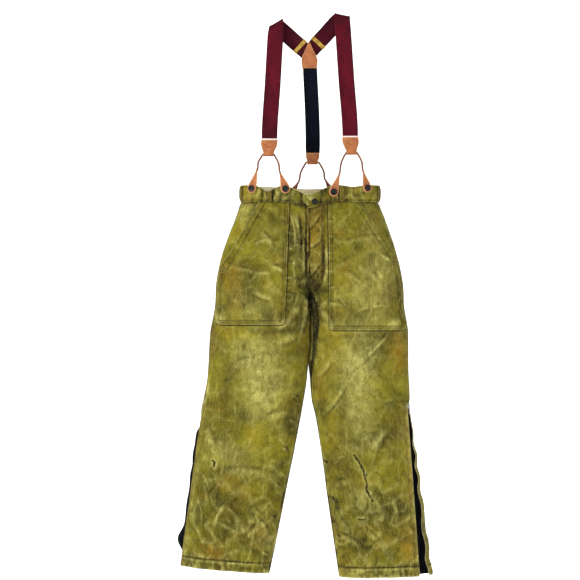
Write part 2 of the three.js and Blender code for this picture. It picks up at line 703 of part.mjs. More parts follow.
// One ribbon: up the front, flat over the hanging line and down the back to the yoke.
function strap(brace) {
  const level = new THREE.Vector3(Math.cos(brace.foldSlope), 0, Math.sin(brace.foldSlope));
  const upper = new THREE.Vector3(brace.foldX, -FOLD_HALF_DEPTH, brace.foldH - 6);
  const tip = backPlane(brace.yokeX, brace.yokeH, brace.yokeDepth);
  const backStart = backPlane(brace.foldX - Math.sign(brace.foldX) * 8, brace.foldH - 12, brace.yokeDepth);
  const backRun = tip.clone().sub(backStart).normalize();
  const backNormal = new THREE.Vector3(0, 1, BRACE_SPREAD).normalize();
  const backAcross = new THREE.Vector3().crossVectors(backRun, backNormal).normalize();
  if (backAcross.x < 0) backAcross.negate();
  const overLine = (face) => new THREE.Vector3(brace.foldX, face * (FOLD_HALF_DEPTH - 1.4), brace.foldH);
  const stations = [
    { at: frontPlane(brace.endX, brace.endH - 20), across: X_AXIS, width: 22 },
    { at: frontPlane(brace.endX, brace.endH), across: X_AXIS, width: STRAP_WIDTH - 1 },
    { at: frontPlane(brace.endX, brace.endH).lerp(upper, 0.5), across: X_AXIS, width: STRAP_WIDTH },
    { at: frontPlane(brace.endX, brace.endH).lerp(upper, 0.88), across: X_AXIS, width: STRAP_WIDTH },
    { at: upper, across: X_AXIS.clone().lerp(level, 0.8), width: STRAP_WIDTH },
    { at: overLine(-1), across: level, width: STRAP_WIDTH },
    { at: overLine(1), across: level, width: STRAP_WIDTH },
    { at: new THREE.Vector3(brace.foldX, FOLD_HALF_DEPTH, brace.foldH - 6),
      across: level.clone().lerp(backAcross, 0.3), width: STRAP_WIDTH },
    { at: backStart, across: backAcross, width: STRAP_WIDTH },
    { at: tip, across: backAcross, width: STRAP_WIDTH - 2 },
  ];
  add(`brace_strap_${brace.name}`, ribbon(stations, WEBBING), MAROON_PAINT);
  return { backStart, tip, backRun, backAcross };
}

// Brass adjuster: a sleeve round the strap with a hinged locking lever on its outer side.
const SLEEVE_LENGTH = 10;
const SLEEVE_WIDTH = STRAP_WIDTH + 5;
const SLEEVE_DEPTH = 6.4;
function adjuster(brace, run) {
  const frame = new THREE.Group();
  const normal = new THREE.Vector3().crossVectors(run.backAcross, run.backRun).normalize();
  if (normal.y < 0) normal.negate();
  const z = run.backRun.clone().negate();
  const x = new THREE.Vector3().crossVectors(normal, z);
  frame.setRotationFromMatrix(new THREE.Matrix4().makeBasis(x, normal, z));
  frame.position.copy(run.backStart.clone().lerp(run.tip, 0.74));
  whole.add(frame);
  const sleeve = cutBy(
    block(SLEEVE_WIDTH, SLEEVE_DEPTH, SLEEVE_LENGTH),
    block(STRAP_WIDTH + 1.4, WEBBING + 1.6, SLEEVE_LENGTH + 2),
  );
  add(`adjuster_frame_${brace.name}`, sleeve, BRASS_PAINT, frame);
  const lever = joined([
    block(SLEEVE_WIDTH - 2, 1.2, SLEEVE_LENGTH - 1, 0, 0, -SLEEVE_LENGTH / 2 + 0.5),
    new THREE.CylinderGeometry(0.9, 0.9, SLEEVE_WIDTH - 2, 8).rotateZ(Math.PI / 2),
  ]);
  const leverMesh = add(`adjuster_lever_${brace.name}`, lever, BRASS_PAINT, frame);
  leverMesh.position.set(0, SLEEVE_DEPTH / 2 + 1.3, SLEEVE_LENGTH / 2 - 0.6);
}

// A folded leather end: down the front, round the cord and up behind the strap's end.
function runner(name, plane, top, bar) {
  const bottom = bar.h - 0.4;
  const reach = CORD_DIAMETER / 2 + 0.4 + LEATHER / 2;
  const slope = plane(0, 0).y < 0 ? -1 : 1;
  const middle = (h) => plane(0, h).y;
  const profile = [[top.h, -2.3], [top.h - 12, -2.4], [bottom + 8, -reach], [bottom, -reach]];
  for (const turn of [0.25, 0.5, 0.75]) {
    profile.push([bottom - reach * Math.sin(Math.PI * turn), -reach * Math.cos(Math.PI * turn)]);
  }
  profile.push([bottom, reach], [bottom + 8, reach], [top.h - 12, 2.4], [top.h, 2.3]);
  const stations = profile.map(([h, out]) => {
    const share = THREE.MathUtils.clamp((top.h - h) / (top.h - bottom), 0, 1);
    const level = Math.max(h, bottom);
    return {
      at: new THREE.Vector3(top.x + (bar.x - top.x) * share, middle(level) + slope * -out, h),
      across: X_AXIS,
      width: top.width + (bar.width - top.width) * share,
    };
  });
  add(name, ribbon(stations, LEATHER - 0.4), LEATHER_PAINT);
}

// A rolled leather loop whose two ends flare into buttonhole tabs.
function buttonLoop(name, face, plane, brace, material) {
  const pieces = [];
  const necks = [];
  brace.tabs.forEach((tab) => {
    const seat = onWaist(tab.x, face, tab.h, 0.9);
    const neck = new THREE.Vector3(tab.neckX, seat.at.y, tab.neckH);
    const rise = neck.clone().sub(seat.at);
    rise.addScaledVector(seat.normal, -rise.dot(seat.normal)).normalize();
    const reach = Math.hypot(tab.neckX - tab.x, tab.neckH - tab.h);
    const shape = new THREE.Shape();
    shape.moveTo(-2.4, reach);
    shape.bezierCurveTo(-3, reach * 0.7, -TAB_RADIUS, reach * 0.5, -TAB_RADIUS, 0);
    shape.absarc(0, 0, TAB_RADIUS, Math.PI, 2 * Math.PI, false);
    shape.bezierCurveTo(TAB_RADIUS, reach * 0.5, 3, reach * 0.7, 2.4, reach);
    shape.closePath();
    const hole = new THREE.Path();
    hole.absarc(0, 0, TAB_HOLE, 0, 2 * Math.PI, true);
    shape.holes.push(hole);
    const flat = plate(shape, LEATHER, 5);
    const x = new THREE.Vector3().crossVectors(rise, seat.normal);
    flat.applyMatrix4(new THREE.Matrix4().makeBasis(x, rise, seat.normal).setPosition(seat.at));
    pieces.push(flat);
    const root = seat.at.clone().addScaledVector(seat.normal, LEATHER / 2);
    necks.push({
      low: root.clone().addScaledVector(rise, reach - 6),
      high: root.clone().addScaledVector(rise, reach + 2),
    });
    const button = facing(onWaist(tab.x, face, tab.h, 0.4).at, seat.normal);
    const place = face > 0 ? 'back' : 'front';
    const side = tab.x < 0 ? 'right' : 'left';
    const reachName = Math.abs(tab.x) > 100 ? '_outer' : '_inner';
    const label = `${place}_${side}${face > 0 ? '' : reachName}`;
    add(`brace_button_${label}`, buttonGeometry(BRACE_BUTTON_RADIUS, LEATHER + 1), BUTTON_PAINT, button);
  });
  const bar = (x) => new THREE.Vector3(x, plane(0, brace.barH).y, brace.barH);
  const [first, second] = necks;
  const shoulder = 3;
  const below = new THREE.Vector3(0, 0, -6);
  const path = [first.low, first.high, bar(brace.barX - brace.barHalf - shoulder).add(below),
    bar(brace.barX - brace.barHalf), bar(brace.barX), bar(brace.barX + brace.barHalf),
    bar(brace.barX + brace.barHalf + shoulder).add(below), second.high, second.low];
  pieces.push(tube(path, CORD_DIAMETER / 2, 26));
  add(name, joined(pieces), material);
}

for (const brace of BRACES) {
  const run = strap(brace);
  adjuster(brace, run);
  const top = { x: brace.endX, h: brace.endH, width: STRAP_WIDTH + 1 };
  runner(`leather_end_${brace.name}`, frontPlane, top, { x: brace.barX, h: brace.barH, width: 22 });
  buttonLoop(`button_loop_${brace.name}`, -1, frontPlane, brace, LEATHER_PAINT);
}

const backBottom = backPlane(BACK_BRACE.endX, BACK_BRACE.endH - 10);
const backStrapTop = backPlane(BACK_BRACE.topX, BACK_BRACE.topH, 3.6);
add('brace_strap_back', ribbon([
  { at: backBottom, across: X_AXIS, width: 26 },
  { at: backPlane(BACK_BRACE.endX, BACK_BRACE.endH + 4), across: X_AXIS, width: 34 },
  { at: backPlane(BACK_BRACE.endX, BACK_BRACE.endH + 30), across: X_AXIS, width: 35 },
  { at: backStrapTop, across: X_AXIS, width: 34 },
], WEBBING), NAVY_PAINT);
const backEndTop = { x: BACK_BRACE.endX, h: BACK_BRACE.endH + 2, width: 36 };
runner('leather_end_back', backPlane, backEndTop, { x: BACK_BRACE.barX, h: BACK_BRACE.barH, width: 27 });
buttonLoop('button_loop_back', 1, backPlane, BACK_BRACE, DARK_LEATHER_PAINT);

// The yoke: two pointed leather plates with the three strap ends between them.
function yokePlate(name, depth) {
  const foot = 1327;
  const outline = [[-2, 69], [-20.5, 25], [-21, 17], [-17, 0], [16, 0], [18.5, 17], [18, 25]];
  const shape = new THREE.Shape(outline.map(([x, rise]) => new THREE.Vector2(x, rise)));
  const group = new THREE.Group();
  group.position.copy(backPlane(0, foot, depth));
  group.rotation.x = Math.PI / 2 + Math.atan(BRACE_SPREAD);
  whole.add(group);
  add(name, plate(shape, 2).translate(0, 0, -1), LEATHER_PAINT, group);
}
yokePlate('yoke_inner', 0);
yokePlate('yoke_outer', 8);

export default whole;
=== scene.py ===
# Canvas work trousers with zip-open legs, hanging by their button-on braces.
import math

import bpy
import numpy as np
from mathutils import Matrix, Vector


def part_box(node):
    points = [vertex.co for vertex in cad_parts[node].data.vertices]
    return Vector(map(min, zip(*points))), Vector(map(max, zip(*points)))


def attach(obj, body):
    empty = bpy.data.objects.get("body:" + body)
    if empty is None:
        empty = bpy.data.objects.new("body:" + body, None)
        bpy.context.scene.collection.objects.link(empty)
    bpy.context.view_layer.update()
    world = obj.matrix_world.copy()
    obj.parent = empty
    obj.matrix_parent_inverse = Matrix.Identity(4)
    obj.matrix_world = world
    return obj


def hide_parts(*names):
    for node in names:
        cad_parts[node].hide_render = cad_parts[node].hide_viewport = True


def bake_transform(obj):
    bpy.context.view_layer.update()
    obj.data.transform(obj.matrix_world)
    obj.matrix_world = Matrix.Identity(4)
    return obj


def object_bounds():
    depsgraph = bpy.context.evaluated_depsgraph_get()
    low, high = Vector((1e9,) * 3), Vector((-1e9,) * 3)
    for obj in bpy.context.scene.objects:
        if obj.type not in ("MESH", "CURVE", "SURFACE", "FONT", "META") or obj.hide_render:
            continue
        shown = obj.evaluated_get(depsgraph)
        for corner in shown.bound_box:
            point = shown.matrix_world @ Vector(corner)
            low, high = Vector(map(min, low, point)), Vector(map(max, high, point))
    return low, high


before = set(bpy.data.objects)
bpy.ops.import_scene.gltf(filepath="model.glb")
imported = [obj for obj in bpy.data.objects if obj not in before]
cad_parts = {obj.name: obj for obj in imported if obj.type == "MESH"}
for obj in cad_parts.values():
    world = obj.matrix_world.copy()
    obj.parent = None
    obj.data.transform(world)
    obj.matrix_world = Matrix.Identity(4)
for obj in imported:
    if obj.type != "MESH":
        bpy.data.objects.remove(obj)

cad_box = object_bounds()

# ---- driving dimensions: millimetres, and heights h counted up from the lower hem ----

MM = 0.001
LEFT_HEM = 3.0
REST_HEIGHT = LEFT_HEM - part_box("front_panel_left_lower")[0].z / MM


def height_of(node, corner):
    """The height of a CAD node's lowest (0) or highest (1) point."""
    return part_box(node)[corner].z / MM + REST_HEIGHT


WAIST_SEAM = height_of("back_panel_left_upper", 1) + 0.8
WAIST_TOP = WAIST_SEAM + 42
FLY_BOTTOM = height_of("fly_flap", 0)
FADE_HEIGHT = 850
ZIP_TOP = height_of("leg_zip_back_chain_left", 1) + 1
ROUNDNESS = 2.5
WAIST_HALF_WIDTH = 179
WAIST_HALF_DEPTH = 59
FLY_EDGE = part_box("fly_flap")[0].x / MM

CANVAS = 1.4
BAND_OUT = 1.6
BAND_THICKNESS = 2.2
HEM_DEPTH = 26
SEAM_LAP = 9
THREAD = 0.42
WEBBING = 1.8
LEATHER = 2.2
STRAP_WIDTH = 41.5
CORD_RADIUS = 2.6
FOLD_HALF_DEPTH = 6
BRACE_SPREAD = 0.124
TAB_RADIUS = 11

HALF_DEPTH = [[1020, 58], [976, 59], [900, 63], [806, 67], [733, 69],
              [634, 66], [520, 58], [455, 55], [0, 47]]

# Each leg's outer and inner edges from the centre line, by height.
RIGHT_LEG = {
    "name": "right", "side": -1, "hem": 20.0, "hem_slope": -0.085,
    "outer": [[1020, 173], [976, 180], [936, 192], [876, 215], [806, 236], [757, 244], [710, 246],
              [634, 259], [520, 266], [455, 278], [320, 305], [90, 336], [0, 338]],
    "inner": [[1020, -173], [976, -182], [900, -190], [850, -165], [806, -118], [770, -50], [745, -8],
              [733, 0.6], [634, 1], [521, 9], [450, 19], [374, 33], [0, 110]],
    "zip_top": {-1: 0.03, 1: 0.26},
    "zip_hem": {-1: 0.1, 1: 0.66},
}
LEFT_LEG = {
    "name": "left", "side": 1, "hem": LEFT_HEM, "hem_slope": -0.02,
    "outer": [[1020, 173], [976, 178], [932, 194], [850, 222], [784, 238], [743, 243], [710, 244],
              [634, 255], [520, 256], [455, 259], [330, 273], [195, 290], [82, 307], [0, 315]],
    "inner": [[1020, -173], [976, -179], [900, -188], [850, -163], [806, -118], [770, -50], [745, -8],
              [733, 0.6], [634, 1], [520, 1], [463, 5], [419, 15], [330, 30], [203, 47], [0, 77]],
    "zip_top": {-1: 0.4, 1: 0.03},
    "zip_hem": {-1: 0.82, 1: -0.33},
}
LEGS = [RIGHT_LEG, LEFT_LEG]

POCKETS = {
    "right": {"slant_top": 133, "slant_foot": (797, 230), "inner_top": 53, "inner_foot": 65, "bottom": 656},
    "left": {"slant_top": 128, "slant_foot": (825, 224), "inner_top": 46, "inner_foot": 50, "bottom": 642},
}

BRACES = [
    {"name": "right", "fold_x": -88.4, "fold_h": 1443, "fold_slope": 0.52, "end_x": -105, "end_h": 1134,
     "yoke_x": -7, "yoke_h": 1367, "yoke_depth": 2.6, "bar_x": -107.8, "bar_h": 1096.5, "bar_half": 13,
     "tabs": [(-149, 1009, -131.6, 1059), (-63, 1007, -78, 1050)]},
    {"name": "left", "fold_x": 84, "fold_h": 1463, "fold_slope": -0.21, "end_x": 103.7, "end_h": 1141,
     "yoke_x": 3, "yoke_h": 1373, "yoke_depth": 5.2, "bar_x": 107, "bar_h": 1100.5, "bar_half": 13,
     "tabs": [(60, 999, 75.7, 1047), (146, 1010, 132.6, 1056)]},
]
BACK_BRACE = {
    "name": "back", "top_x": -0.4, "top_h": 1344, "end_x": 7.9, "end_h": 1105,
    "bar_x": 7.3, "bar_h": 1082, "bar_half": 16,
    "tabs": [(-51, 993, -28.6, 1033), (63, 995, 40, 1039)],
}

# Creases on the front: from (x, h) to (x, h), half width, depth. A negative depth stands out as a ridge.
CREASES = [
    (-146, 870, -104, 881, 4, 1.0), (-98, 813, -64, 800, 4.5, 1.6), (-188, 808, -138, 794, 4, 1.2),
    (-139, 793, -100, 794, 3.5, 0.8), (-137, 796, -150, 770, 5, -1.2),
    (-54, 955, -40, 850, 4.5, -1.8), (-34, 955, -24, 838, 4.5, 3.0), (-20, 900, -14, 800, 3, 1.4),
    (-16, 858, -6, 824, 3, 1.6), (28, 946, -4, 905, 4, 3.4), (34, 878, -4, 850, 4, 3.2),
    (28, 812, -3, 776, 4, 3.0), (14, 925, 30, 900, 4, -1.4), (40, 870, 30, 742, 5, -2.0),
    (46, 717, 88, 710, 3.5, 0.9), (158, 702, 194, 704, 3.5, -1.1), (85, 872, 160, 888, 5, 0.6),
    (155, 890, 182, 883, 3.5, 1.0), (182, 843, 206, 823, 3.5, 1.4), (169, 798, 183, 773, 4.5, -0.9),
    (-170, 116, -132, 143, 5, 2.8), (-254, 130, -222, 192, 6, -1.4),
    (-287, 270, -266, 226, 4, -0.8), (-303, 208, -285, 142, 5, -1.0),
    (-134, 163, -105, 130, 5, 1.3), (-228, 286, -96, 276, 7, 0.8), (-266, 394, -246, 342, 7, 0.9),
    (-262, 522, -283, 436, 5, -1.2), (200, 632, 120, 560, 4, -1.3), (96, 500, 38, 420, 4.5, 2.2),
    (190, 618, 100, 528, 6, 0.7), (112, 321, 141, 276, 2.8, 3.0), (151, 222, 167, 203, 3, 1.4),
    (140, 147, 222, 40, 4, -1.2), (146, 138, 226, 34, 5, 1.0), (227, 196, 232, 143, 4, 0.9),
    (200, 380, 172, 328, 9, 1.3), (60, 560, 28, 520, 5, 1.0), (-20, 700, -70, 640, 7, 1.1),
    (-30, 620, -90, 600, 7, 0.8), (30, 700, 70, 655, 6, 1.1), (-200, 560, -140, 575, 7, 0.6),
    (-120, 420, -60, 440, 8, 0.8), (60, 250, 110, 262, 7, 0.8), (70, 120, 128, 96, 6, 1.0),
    (-240, 60, -180, 84, 6, 1.0),
]
CREASES += [
    (9, 765, 17, 655, 6, 7.0), (16, 668, 1, 540, 4, 4.0), (-6, 760, -22, 610, 4, 2.0),
    (-30, 955, -24, 900, 3, 2.0), (-13, 968, -12, 790, 3, 3.2), (-62, 900, -40, 896, 2.5, 1.0),
    (-60, 860, -40, 852, 2.5, 1.0), (-62, 820, -38, 818, 2.5, 1.0), (-66, 780, -44, 782, 2.5, 1.0),
    (-66, 740, -44, 736, 2.5, 1.0), (44, 930, 62, 926, 2.5, 0.9), (44, 890, 62, 888, 2.5, 0.9),
    (46, 845, 64, 846, 2.5, 0.9), (46, 800, 64, 796, 2.5, 0.9), (48, 755, 66, 758, 2.5, 0.9),
    (-100, 715, -150, 735, 5, 1.0), (90, 800, 130, 770, 6, 0.9), (120, 690, 150, 700, 4, -0.9),
    (-120, 900, -90, 860, 5, 0.9),
]
SEAM_DENTS = [(-32, 473), (-41, 411), (-61, 338), (-78, 244), (-91, 164), (-114, 75),
              (42, 300), (60, 205), (76, 110)]
CREASES += [(x - 9, h + 4, x + 5, h - 4, 3, 2.6) for x, h in SEAM_DENTS]
# Worn, stained and grimy places on the front, and places of painted shade among the grimy ones: (x, h, half width,
# half height, strength).
WORN = [
    (-128, 530, 52, 85, 0.75), (-120, 455, 42, 46, 0.5), (-232, 320, 30, 30, 0.45),
    (-172, 300, 36, 40, 0.3), (-150, 700, 60, 40, 0.3), (-233, 672, 12, 12, 1.0),
    (-80, 661, 14, 10, 1.1), (118, 545, 46, 70, 0.85), (128, 430, 34, 80, 0.65),
    (150, 650, 60, 34, 0.35), (150, 735, 62, 50, 0.5), (180, 800, 44, 50, 0.45),
    (214, 657, 12, 12, 1.1), (56, 655, 16, 14, 0.6), (-150, 590, 60, 40, 0.3),
    (-170, 950, 26, 30, 0.45), (158, 900, 26, 40, 0.4), (-110, 105, 30, 26, 0.5),
    (88, 140, 20, 16, 0.4), (136, 205, 18, 34, 0.5),
]
STAINS = [
    (232, 592, 28, 48, 0.7), (56, 600, 26, 70, 0.35), (-248, 66, 36, 22, 0.9),
    (-128, 118, 30, 34, 0.45), (252, 84, 20, 46, 1.0), (-196, 745, 28, 55, 0.4),
    (-164, 1000, 24, 22, 0.5), (-206, 790, 26, 30, 0.35), (172, 740, 50, 60, 0.3),
    (-70, 700, 20, 60, 0.25), (10, 880, 26, 60, 0.4), (100, 60, 60, 20, 0.25),
]
# Painted shade among these: under the pocket bottoms and the waistband's lower edge, along the fly's edge, in the
# pleats beside the fly and where the legs meet.
GRIME_AND_SHADE = [
    (-112, 935, 62, 38, 0.6), (82, 190, 60, 90, 0.5), (150, 85, 70, 26, 0.4),
    (-26, 880, 12, 90, 0.4), (0, 740, 22, 34, 0.7), (36, 960, 40, 18, 0.5),
    (200, 300, 40, 60, 0.25), (-200, 190, 60, 60, 0.25), (-60, 180, 40, 60, 0.2),
    (110, 905, 50, 34, 0.25), (-90, 640, 90, 8, 0.6), (140, 628, 90, 8, 0.6),
    (-10.5, 870, 2.4, 90, 2.2), (33, 850, 4, 60, 0.8), (-30, 880, 16, 60, 0.45),
    (4, 770, 34, 40, 0.45), (-90, 975, 90, 5, 0.5), (90, 975, 90, 5, 0.5),
]
# The dark wedge where the legs meet under the fork: (height, middle, half width).
FORK_SHADOW = [[748, -1, 2], [728, 5, 8], [700, 11, 11], [660, 15, 10],
               [610, 12, 6], [560, 7, 4], [512, 0, 3]]
# Painted shade in the small dents along the seams.
GRIME_AND_SHADE += [(x, h, 3.5, 8, 0.7) for x, h in SEAM_DENTS]
# A tear darned with loose stitches, and two small worn places: paths of (x, h).
TEARS = [
    [(113, 321), (126, 300), (138, 279), (141, 262), (147, 245), (144, 232), (152, 216), (163, 200)],
    [(124, 155), (134, 153), (143, 156)],
    [(-252, 304), (-247, 296), (-249, 288)],
]
# Small holes worn through the cloth: (x, h, half width, half height).
HOLES = [(-247, 297, 2.2, 4.5), (146, 268, 2.0, 4.0), (150, 246, 2.2, 3.0),
         (152, 222, 2.6, 3.4), (131, 157, 2.4, 2.0)]

# ---- camera, floor and light ----

CAMERA_AT = (-0.052, -5.0, -0.707)
CAMERA_LENS = 119.0
SENSOR_WIDTH = 36
WORLD_STRENGTH = 0.15
OBJECT_MIDDLE = (0, 0, -0.7)
# Area lights: (name, place, aim, size, power).
LIGHTS = (
    ("key", (-3.0, -2.2, 1.5), OBJECT_MIDDLE, 0.8, 135),
    ("fill", (2.4, -3.6, -0.2), OBJECT_MIDDLE, 2.4, 6),
    ("back", (1.2, 3.2, 0.8), OBJECT_MIDDLE, 2.4, 26),
    ("top", (0, 0, 6.0), (0, 0, -1.5), 6, 110),
)
FLOOR_GAP = 0.12
FLOOR_GLOW = 0.44
BACKDROP_HEIGHT = 8


def make_camera():
    data = bpy.data.cameras.new("camera")
    data.lens = CAMERA_LENS
    data.sensor_width = SENSOR_WIDTH
    camera = bpy.data.objects.new("camera", data)
    camera.location = CAMERA_AT
    camera.rotation_euler = (math.pi / 2, 0, 0)
    bpy.context.scene.collection.objects.link(camera)
    bpy.context.scene.camera = camera


def area_light(name, place, aim, size, power):
    data = bpy.data.lights.new(name, "AREA")
    data.size = size
    data.energy = power
    light = bpy.data.objects.new(name, data)
    light.location = place
    light.rotation_euler = (Vector(aim) - Vector(place)).to_track_quat("-Z", "Y").to_euler()
    bpy.context.scene.collection.objects.link(light)


def make_studio():
    world = bpy.data.worlds.new("studio")
    bpy.context.scene.world = world
    world.use_nodes = True
    world.node_tree.nodes["Background"].inputs["Color"].default_value = (1, 1, 1, 1)
    world.node_tree.nodes["Background"].inputs["Strength"].default_value = WORLD_STRENGTH
    for light in LIGHTS:
        area_light(*light)
    # A pale floor that curves up into a plain backdrop all round.
    floor_z = cad_box[0].z - FLOOR_GAP
    radius = 8.0
    corner = 2.5
    profile = [(0.01, floor_z), (radius - corner, floor_z)]
    steps = 14
    for step in range(1, steps + 1):
        turn = step / steps * math.pi / 2
        profile.append((radius - corner + corner * math.sin(turn),
                        floor_z + corner * (1 - math.cos(turn))))
    profile.append((radius, floor_z + BACKDROP_HEIGHT))
    sides = 96
    turns = [2 * math.pi * side / sides for side in range(sides)]
    vertices = [(r * math.cos(turn), r * math.sin(turn), z) for r, z in profile for turn in turns]
    faces = [tuple(range(sides))]
    for ring in range(len(profile) - 1):
        for side in range(sides):
            following = (side + 1) % sides
            low, high = ring * sides, (ring + 1) * sides
            faces.append((low + side, low + following, high + following, high + side))
    mesh = bpy.data.meshes.new("studio_floor")
    mesh.from_pydata(vertices, [], faces)
    mesh.polygons.foreach_set("use_smooth", [True] * len(faces))
    floor = bpy.data.objects.new("studio_floor", mesh)
    bpy.context.scene.collection.objects.link(floor)
    recipe = Recipe("studio_paint")
    grain = recipe.noise(40, 3)
    recipe.colour(recipe.mix(grain, (250, 250, 249), (254, 254, 254)))
    recipe.set("Roughness", 0.95)
    recipe.set("Specular IOR Level", 0.05)
    recipe.set("Emission Color", (1, 1, 1, 1))
    recipe.set("Emission Strength", FLOOR_GLOW)
    mesh.materials.append(recipe.material)


# ---- materials ----


def linear(colour):
    """A screen colour, 0 to 255, as a linear one."""
    shares = [c / 255 for c in colour]
    return tuple(c / 12.92 if c <= 0.04045 else ((c + 0.055) / 1.055) ** 2.4 for c in shares) + (1.0,)


class Recipe:
    """A material's node tree, with short ways to add and join its nodes."""

    def __init__(self, name):
        self.material = bpy.data.materials.new(name)
        self.material.use_nodes = True
        self.tree = self.material.node_tree
        self.shader = self.tree.nodes["Principled BSDF"]
        self.place = self.node("TexCoord", output="UV")

    def node(self, kind, inputs=None, output=0, **settings):
        made = self.tree.nodes.new("ShaderNode" + kind)
        for key, value in settings.items():
            setattr(made, key, value)
        for key, value in (inputs or {}).items():
            self.put(made.inputs[key], value)
        return made.outputs[output]

    def put(self, socket, value):
        if isinstance(value, bpy.types.NodeSocket):
            self.tree.links.new(value, socket)
        else:
            socket.default_value = value

    def set(self, socket, value):
        self.put(self.shader.inputs[socket], value)

    def colour(self, value):
        self.set("Base Color", value)

    def noise(self, scale, detail, distortion=0.0, stretch=(1, 1, 1), roughness=0.55):
        place = self.node("Mapping", {"Vector": self.place, "Scale": stretch})
        inputs = {"Vector": place, "Scale": scale, "Detail": detail, "Distortion": distortion,
                  "Roughness": roughness}
        return self.node("TexNoise", inputs)

    def wave(self, scale, direction, distortion=0.0):
        inputs = {"Vector": self.place, "Scale": scale, "Distortion": distortion, "Detail": 1.0}
        return self.node("TexWave", inputs, bands_direction=direction)

    def cracks(self, scale, thin):
        """Thin lines between cells, 1 on the line."""
        warp = self.noise(scale * 0.8, 3)
        place = self.node("VectorMath", {0: self.place, 1: self.scaled_vector(warp, 0.5 / scale)},
                          operation="ADD")
        inputs = {"Vector": place, "Scale": scale}
        distance = self.node("TexVoronoi", inputs, feature="DISTANCE_TO_EDGE")
        return self.spread(distance, thin, 0.0)

    def scaled_vector(self, value, scale):
        return self.node("VectorMath", {0: value, "Scale": scale}, operation="SCALE")

    def sum(self, first, second, operation="ADD"):
        return self.node("Math", {0: first, 1: second}, operation=operation)

    def times(self, first, second):
        return self.sum(first, second, "MULTIPLY")

    def spread(self, value, low, high):
        """The value moved from low..high to 0..1, held inside."""
        inputs = {"Value": value, "From Min": low, "From Max": high}
        return self.node("MapRange", inputs)

    def mix(self, factor, first, second, blend="MIX"):
        made = self.tree.nodes.new("ShaderNodeMix")
        made.data_type = "RGBA"
        made.blend_type = blend
        for index, value in ((0, factor), (6, first), (7, second)):
            if isinstance(value, tuple):
                value = linear(value) if len(value) == 3 else value
            self.put(made.inputs[index], value)
        return made.outputs[2]

    def mark(self, name):
        return self.node("Attribute", attribute_name=name, output="Fac")

    def bump(self, *layers):
        """Bumps one over another: (height socket, distance in metres, strength)."""
        normal = None
        for height, distance, strength in layers:
            inputs = {"Height": height, "Distance": distance, "Strength": strength}
            if normal is not None:
                inputs["Normal"] = normal
            normal = self.node("Bump", inputs)
        self.set("Normal", normal)


def canvas_material(name, low, high, wear_and_highlight, grime_and_shade, stain, weave_scale=330):
    """Waxed duck: mottled, worn pale on its ridges with some painted highlight, grimy and painted with shade in
    its folds.
    """
    recipe = Recipe(name)
    broad = recipe.spread(recipe.noise(9, 4, 0.6), 0.36, 0.66)
    cloudy = recipe.spread(recipe.noise(42, 6, 0.9), 0.34, 0.68)
    speckle = recipe.spread(recipe.noise(230, 4), 0.3, 0.7)
    colour = recipe.mix(broad, low, high)
    tone = recipe.mix(cloudy, (132, 132, 132), (212, 212, 212))
    colour = recipe.mix(0.55, colour, recipe.mix(1.0, colour, tone, "MULTIPLY"))
    wear_and_highlight_noise = recipe.spread(recipe.noise(60, 6, 0.8, (1.8, 0.8, 1)), 0.2, 0.8)
    wear_and_highlight_share = recipe.times(recipe.mark("wear_and_highlight"), wear_and_highlight_noise)
    colour = recipe.mix(recipe.spread(wear_and_highlight_share, 0.0, 1.0), colour, wear_and_highlight)
    stain_share = recipe.times(recipe.mark("stain"), recipe.spread(recipe.noise(34, 5, 1.2), 0.3, 0.66))
    colour = recipe.mix(recipe.times(stain_share, 0.8), colour, stain)
    # The grime_and_shade mark darkens the cloth with real grime and with painted shade in folds, under edges and
    # in gaps.
    grime_and_shade_share = recipe.times(recipe.mark("grime_and_shade"), recipe.spread(recipe.noise(50, 5, 0.6), 0.1, 0.7))
    colour = recipe.mix(recipe.spread(grime_and_shade_share, 0.0, 1.1), colour, grime_and_shade)
    # Past 1 the mark turns the cloth near-black: painted shadow in the fork, round the pockets, along the fly's
    # edge and in the tears.
    colour = recipe.mix(recipe.spread(recipe.mark("grime_and_shade"), 1.0, 2.2), colour, (12, 10, 5))
    lines = recipe.times(recipe.cracks(44, 0.03), recipe.spread(recipe.noise(16, 3), 0.52, 0.75))
    colour = recipe.mix(recipe.times(lines, 0.22), colour, wear_and_highlight)
    veins = recipe.times(recipe.cracks(27, 0.022), recipe.spread(recipe.noise(11, 4), 0.44, 0.7))
    colour = recipe.mix(recipe.times(veins, 0.4), colour, grime_and_shade)
    streaks = recipe.spread(recipe.noise(110, 4, 0.3, (2.4, 0.6, 1)), 0.46, 0.74)
    colour = recipe.mix(recipe.times(streaks, 0.14), colour, wear_and_highlight)
    blotches = recipe.spread(recipe.noise(24, 6, 1.0, (1.2, 0.9, 1)), 0.46, 0.72)
    colour = recipe.mix(recipe.times(blotches, 0.34), colour, grime_and_shade)
    brown = recipe.spread(recipe.noise(13, 5, 0.8), 0.5, 0.72)
    colour = recipe.mix(recipe.times(brown, 0.2), colour, stain)
    grain = recipe.spread(recipe.noise(300, 5, 0.4), 0.38, 0.7)
    colour = recipe.mix(recipe.times(grain, 0.36), colour, grime_and_shade)
    warp = recipe.wave(weave_scale, "X", 0.6)
    weft = recipe.wave(weave_scale, "Y", 0.6)
    weave = recipe.times(warp, weft)
    colour = recipe.mix(recipe.times(recipe.sum(weave, speckle), 0.16), colour, grime_and_shade)
    recipe.colour(colour)
    recipe.set("Roughness", recipe.spread(recipe.sum(cloudy, speckle), -3.2, 2.4))
    recipe.set("Specular IOR Level", 0.06)
    recipe.set("Sheen Weight", 0.01)
    recipe.set("Sheen Roughness", 0.5)
    crumple = recipe.noise(95, 6, 0.8)
    wrinkle = recipe.noise(26, 5, 1.6)
    recipe.bump((wrinkle, 0.016, 0.6), (crumple, 0.0045, 0.7), (weave, 0.0003, 0.8))
    return recipe.material


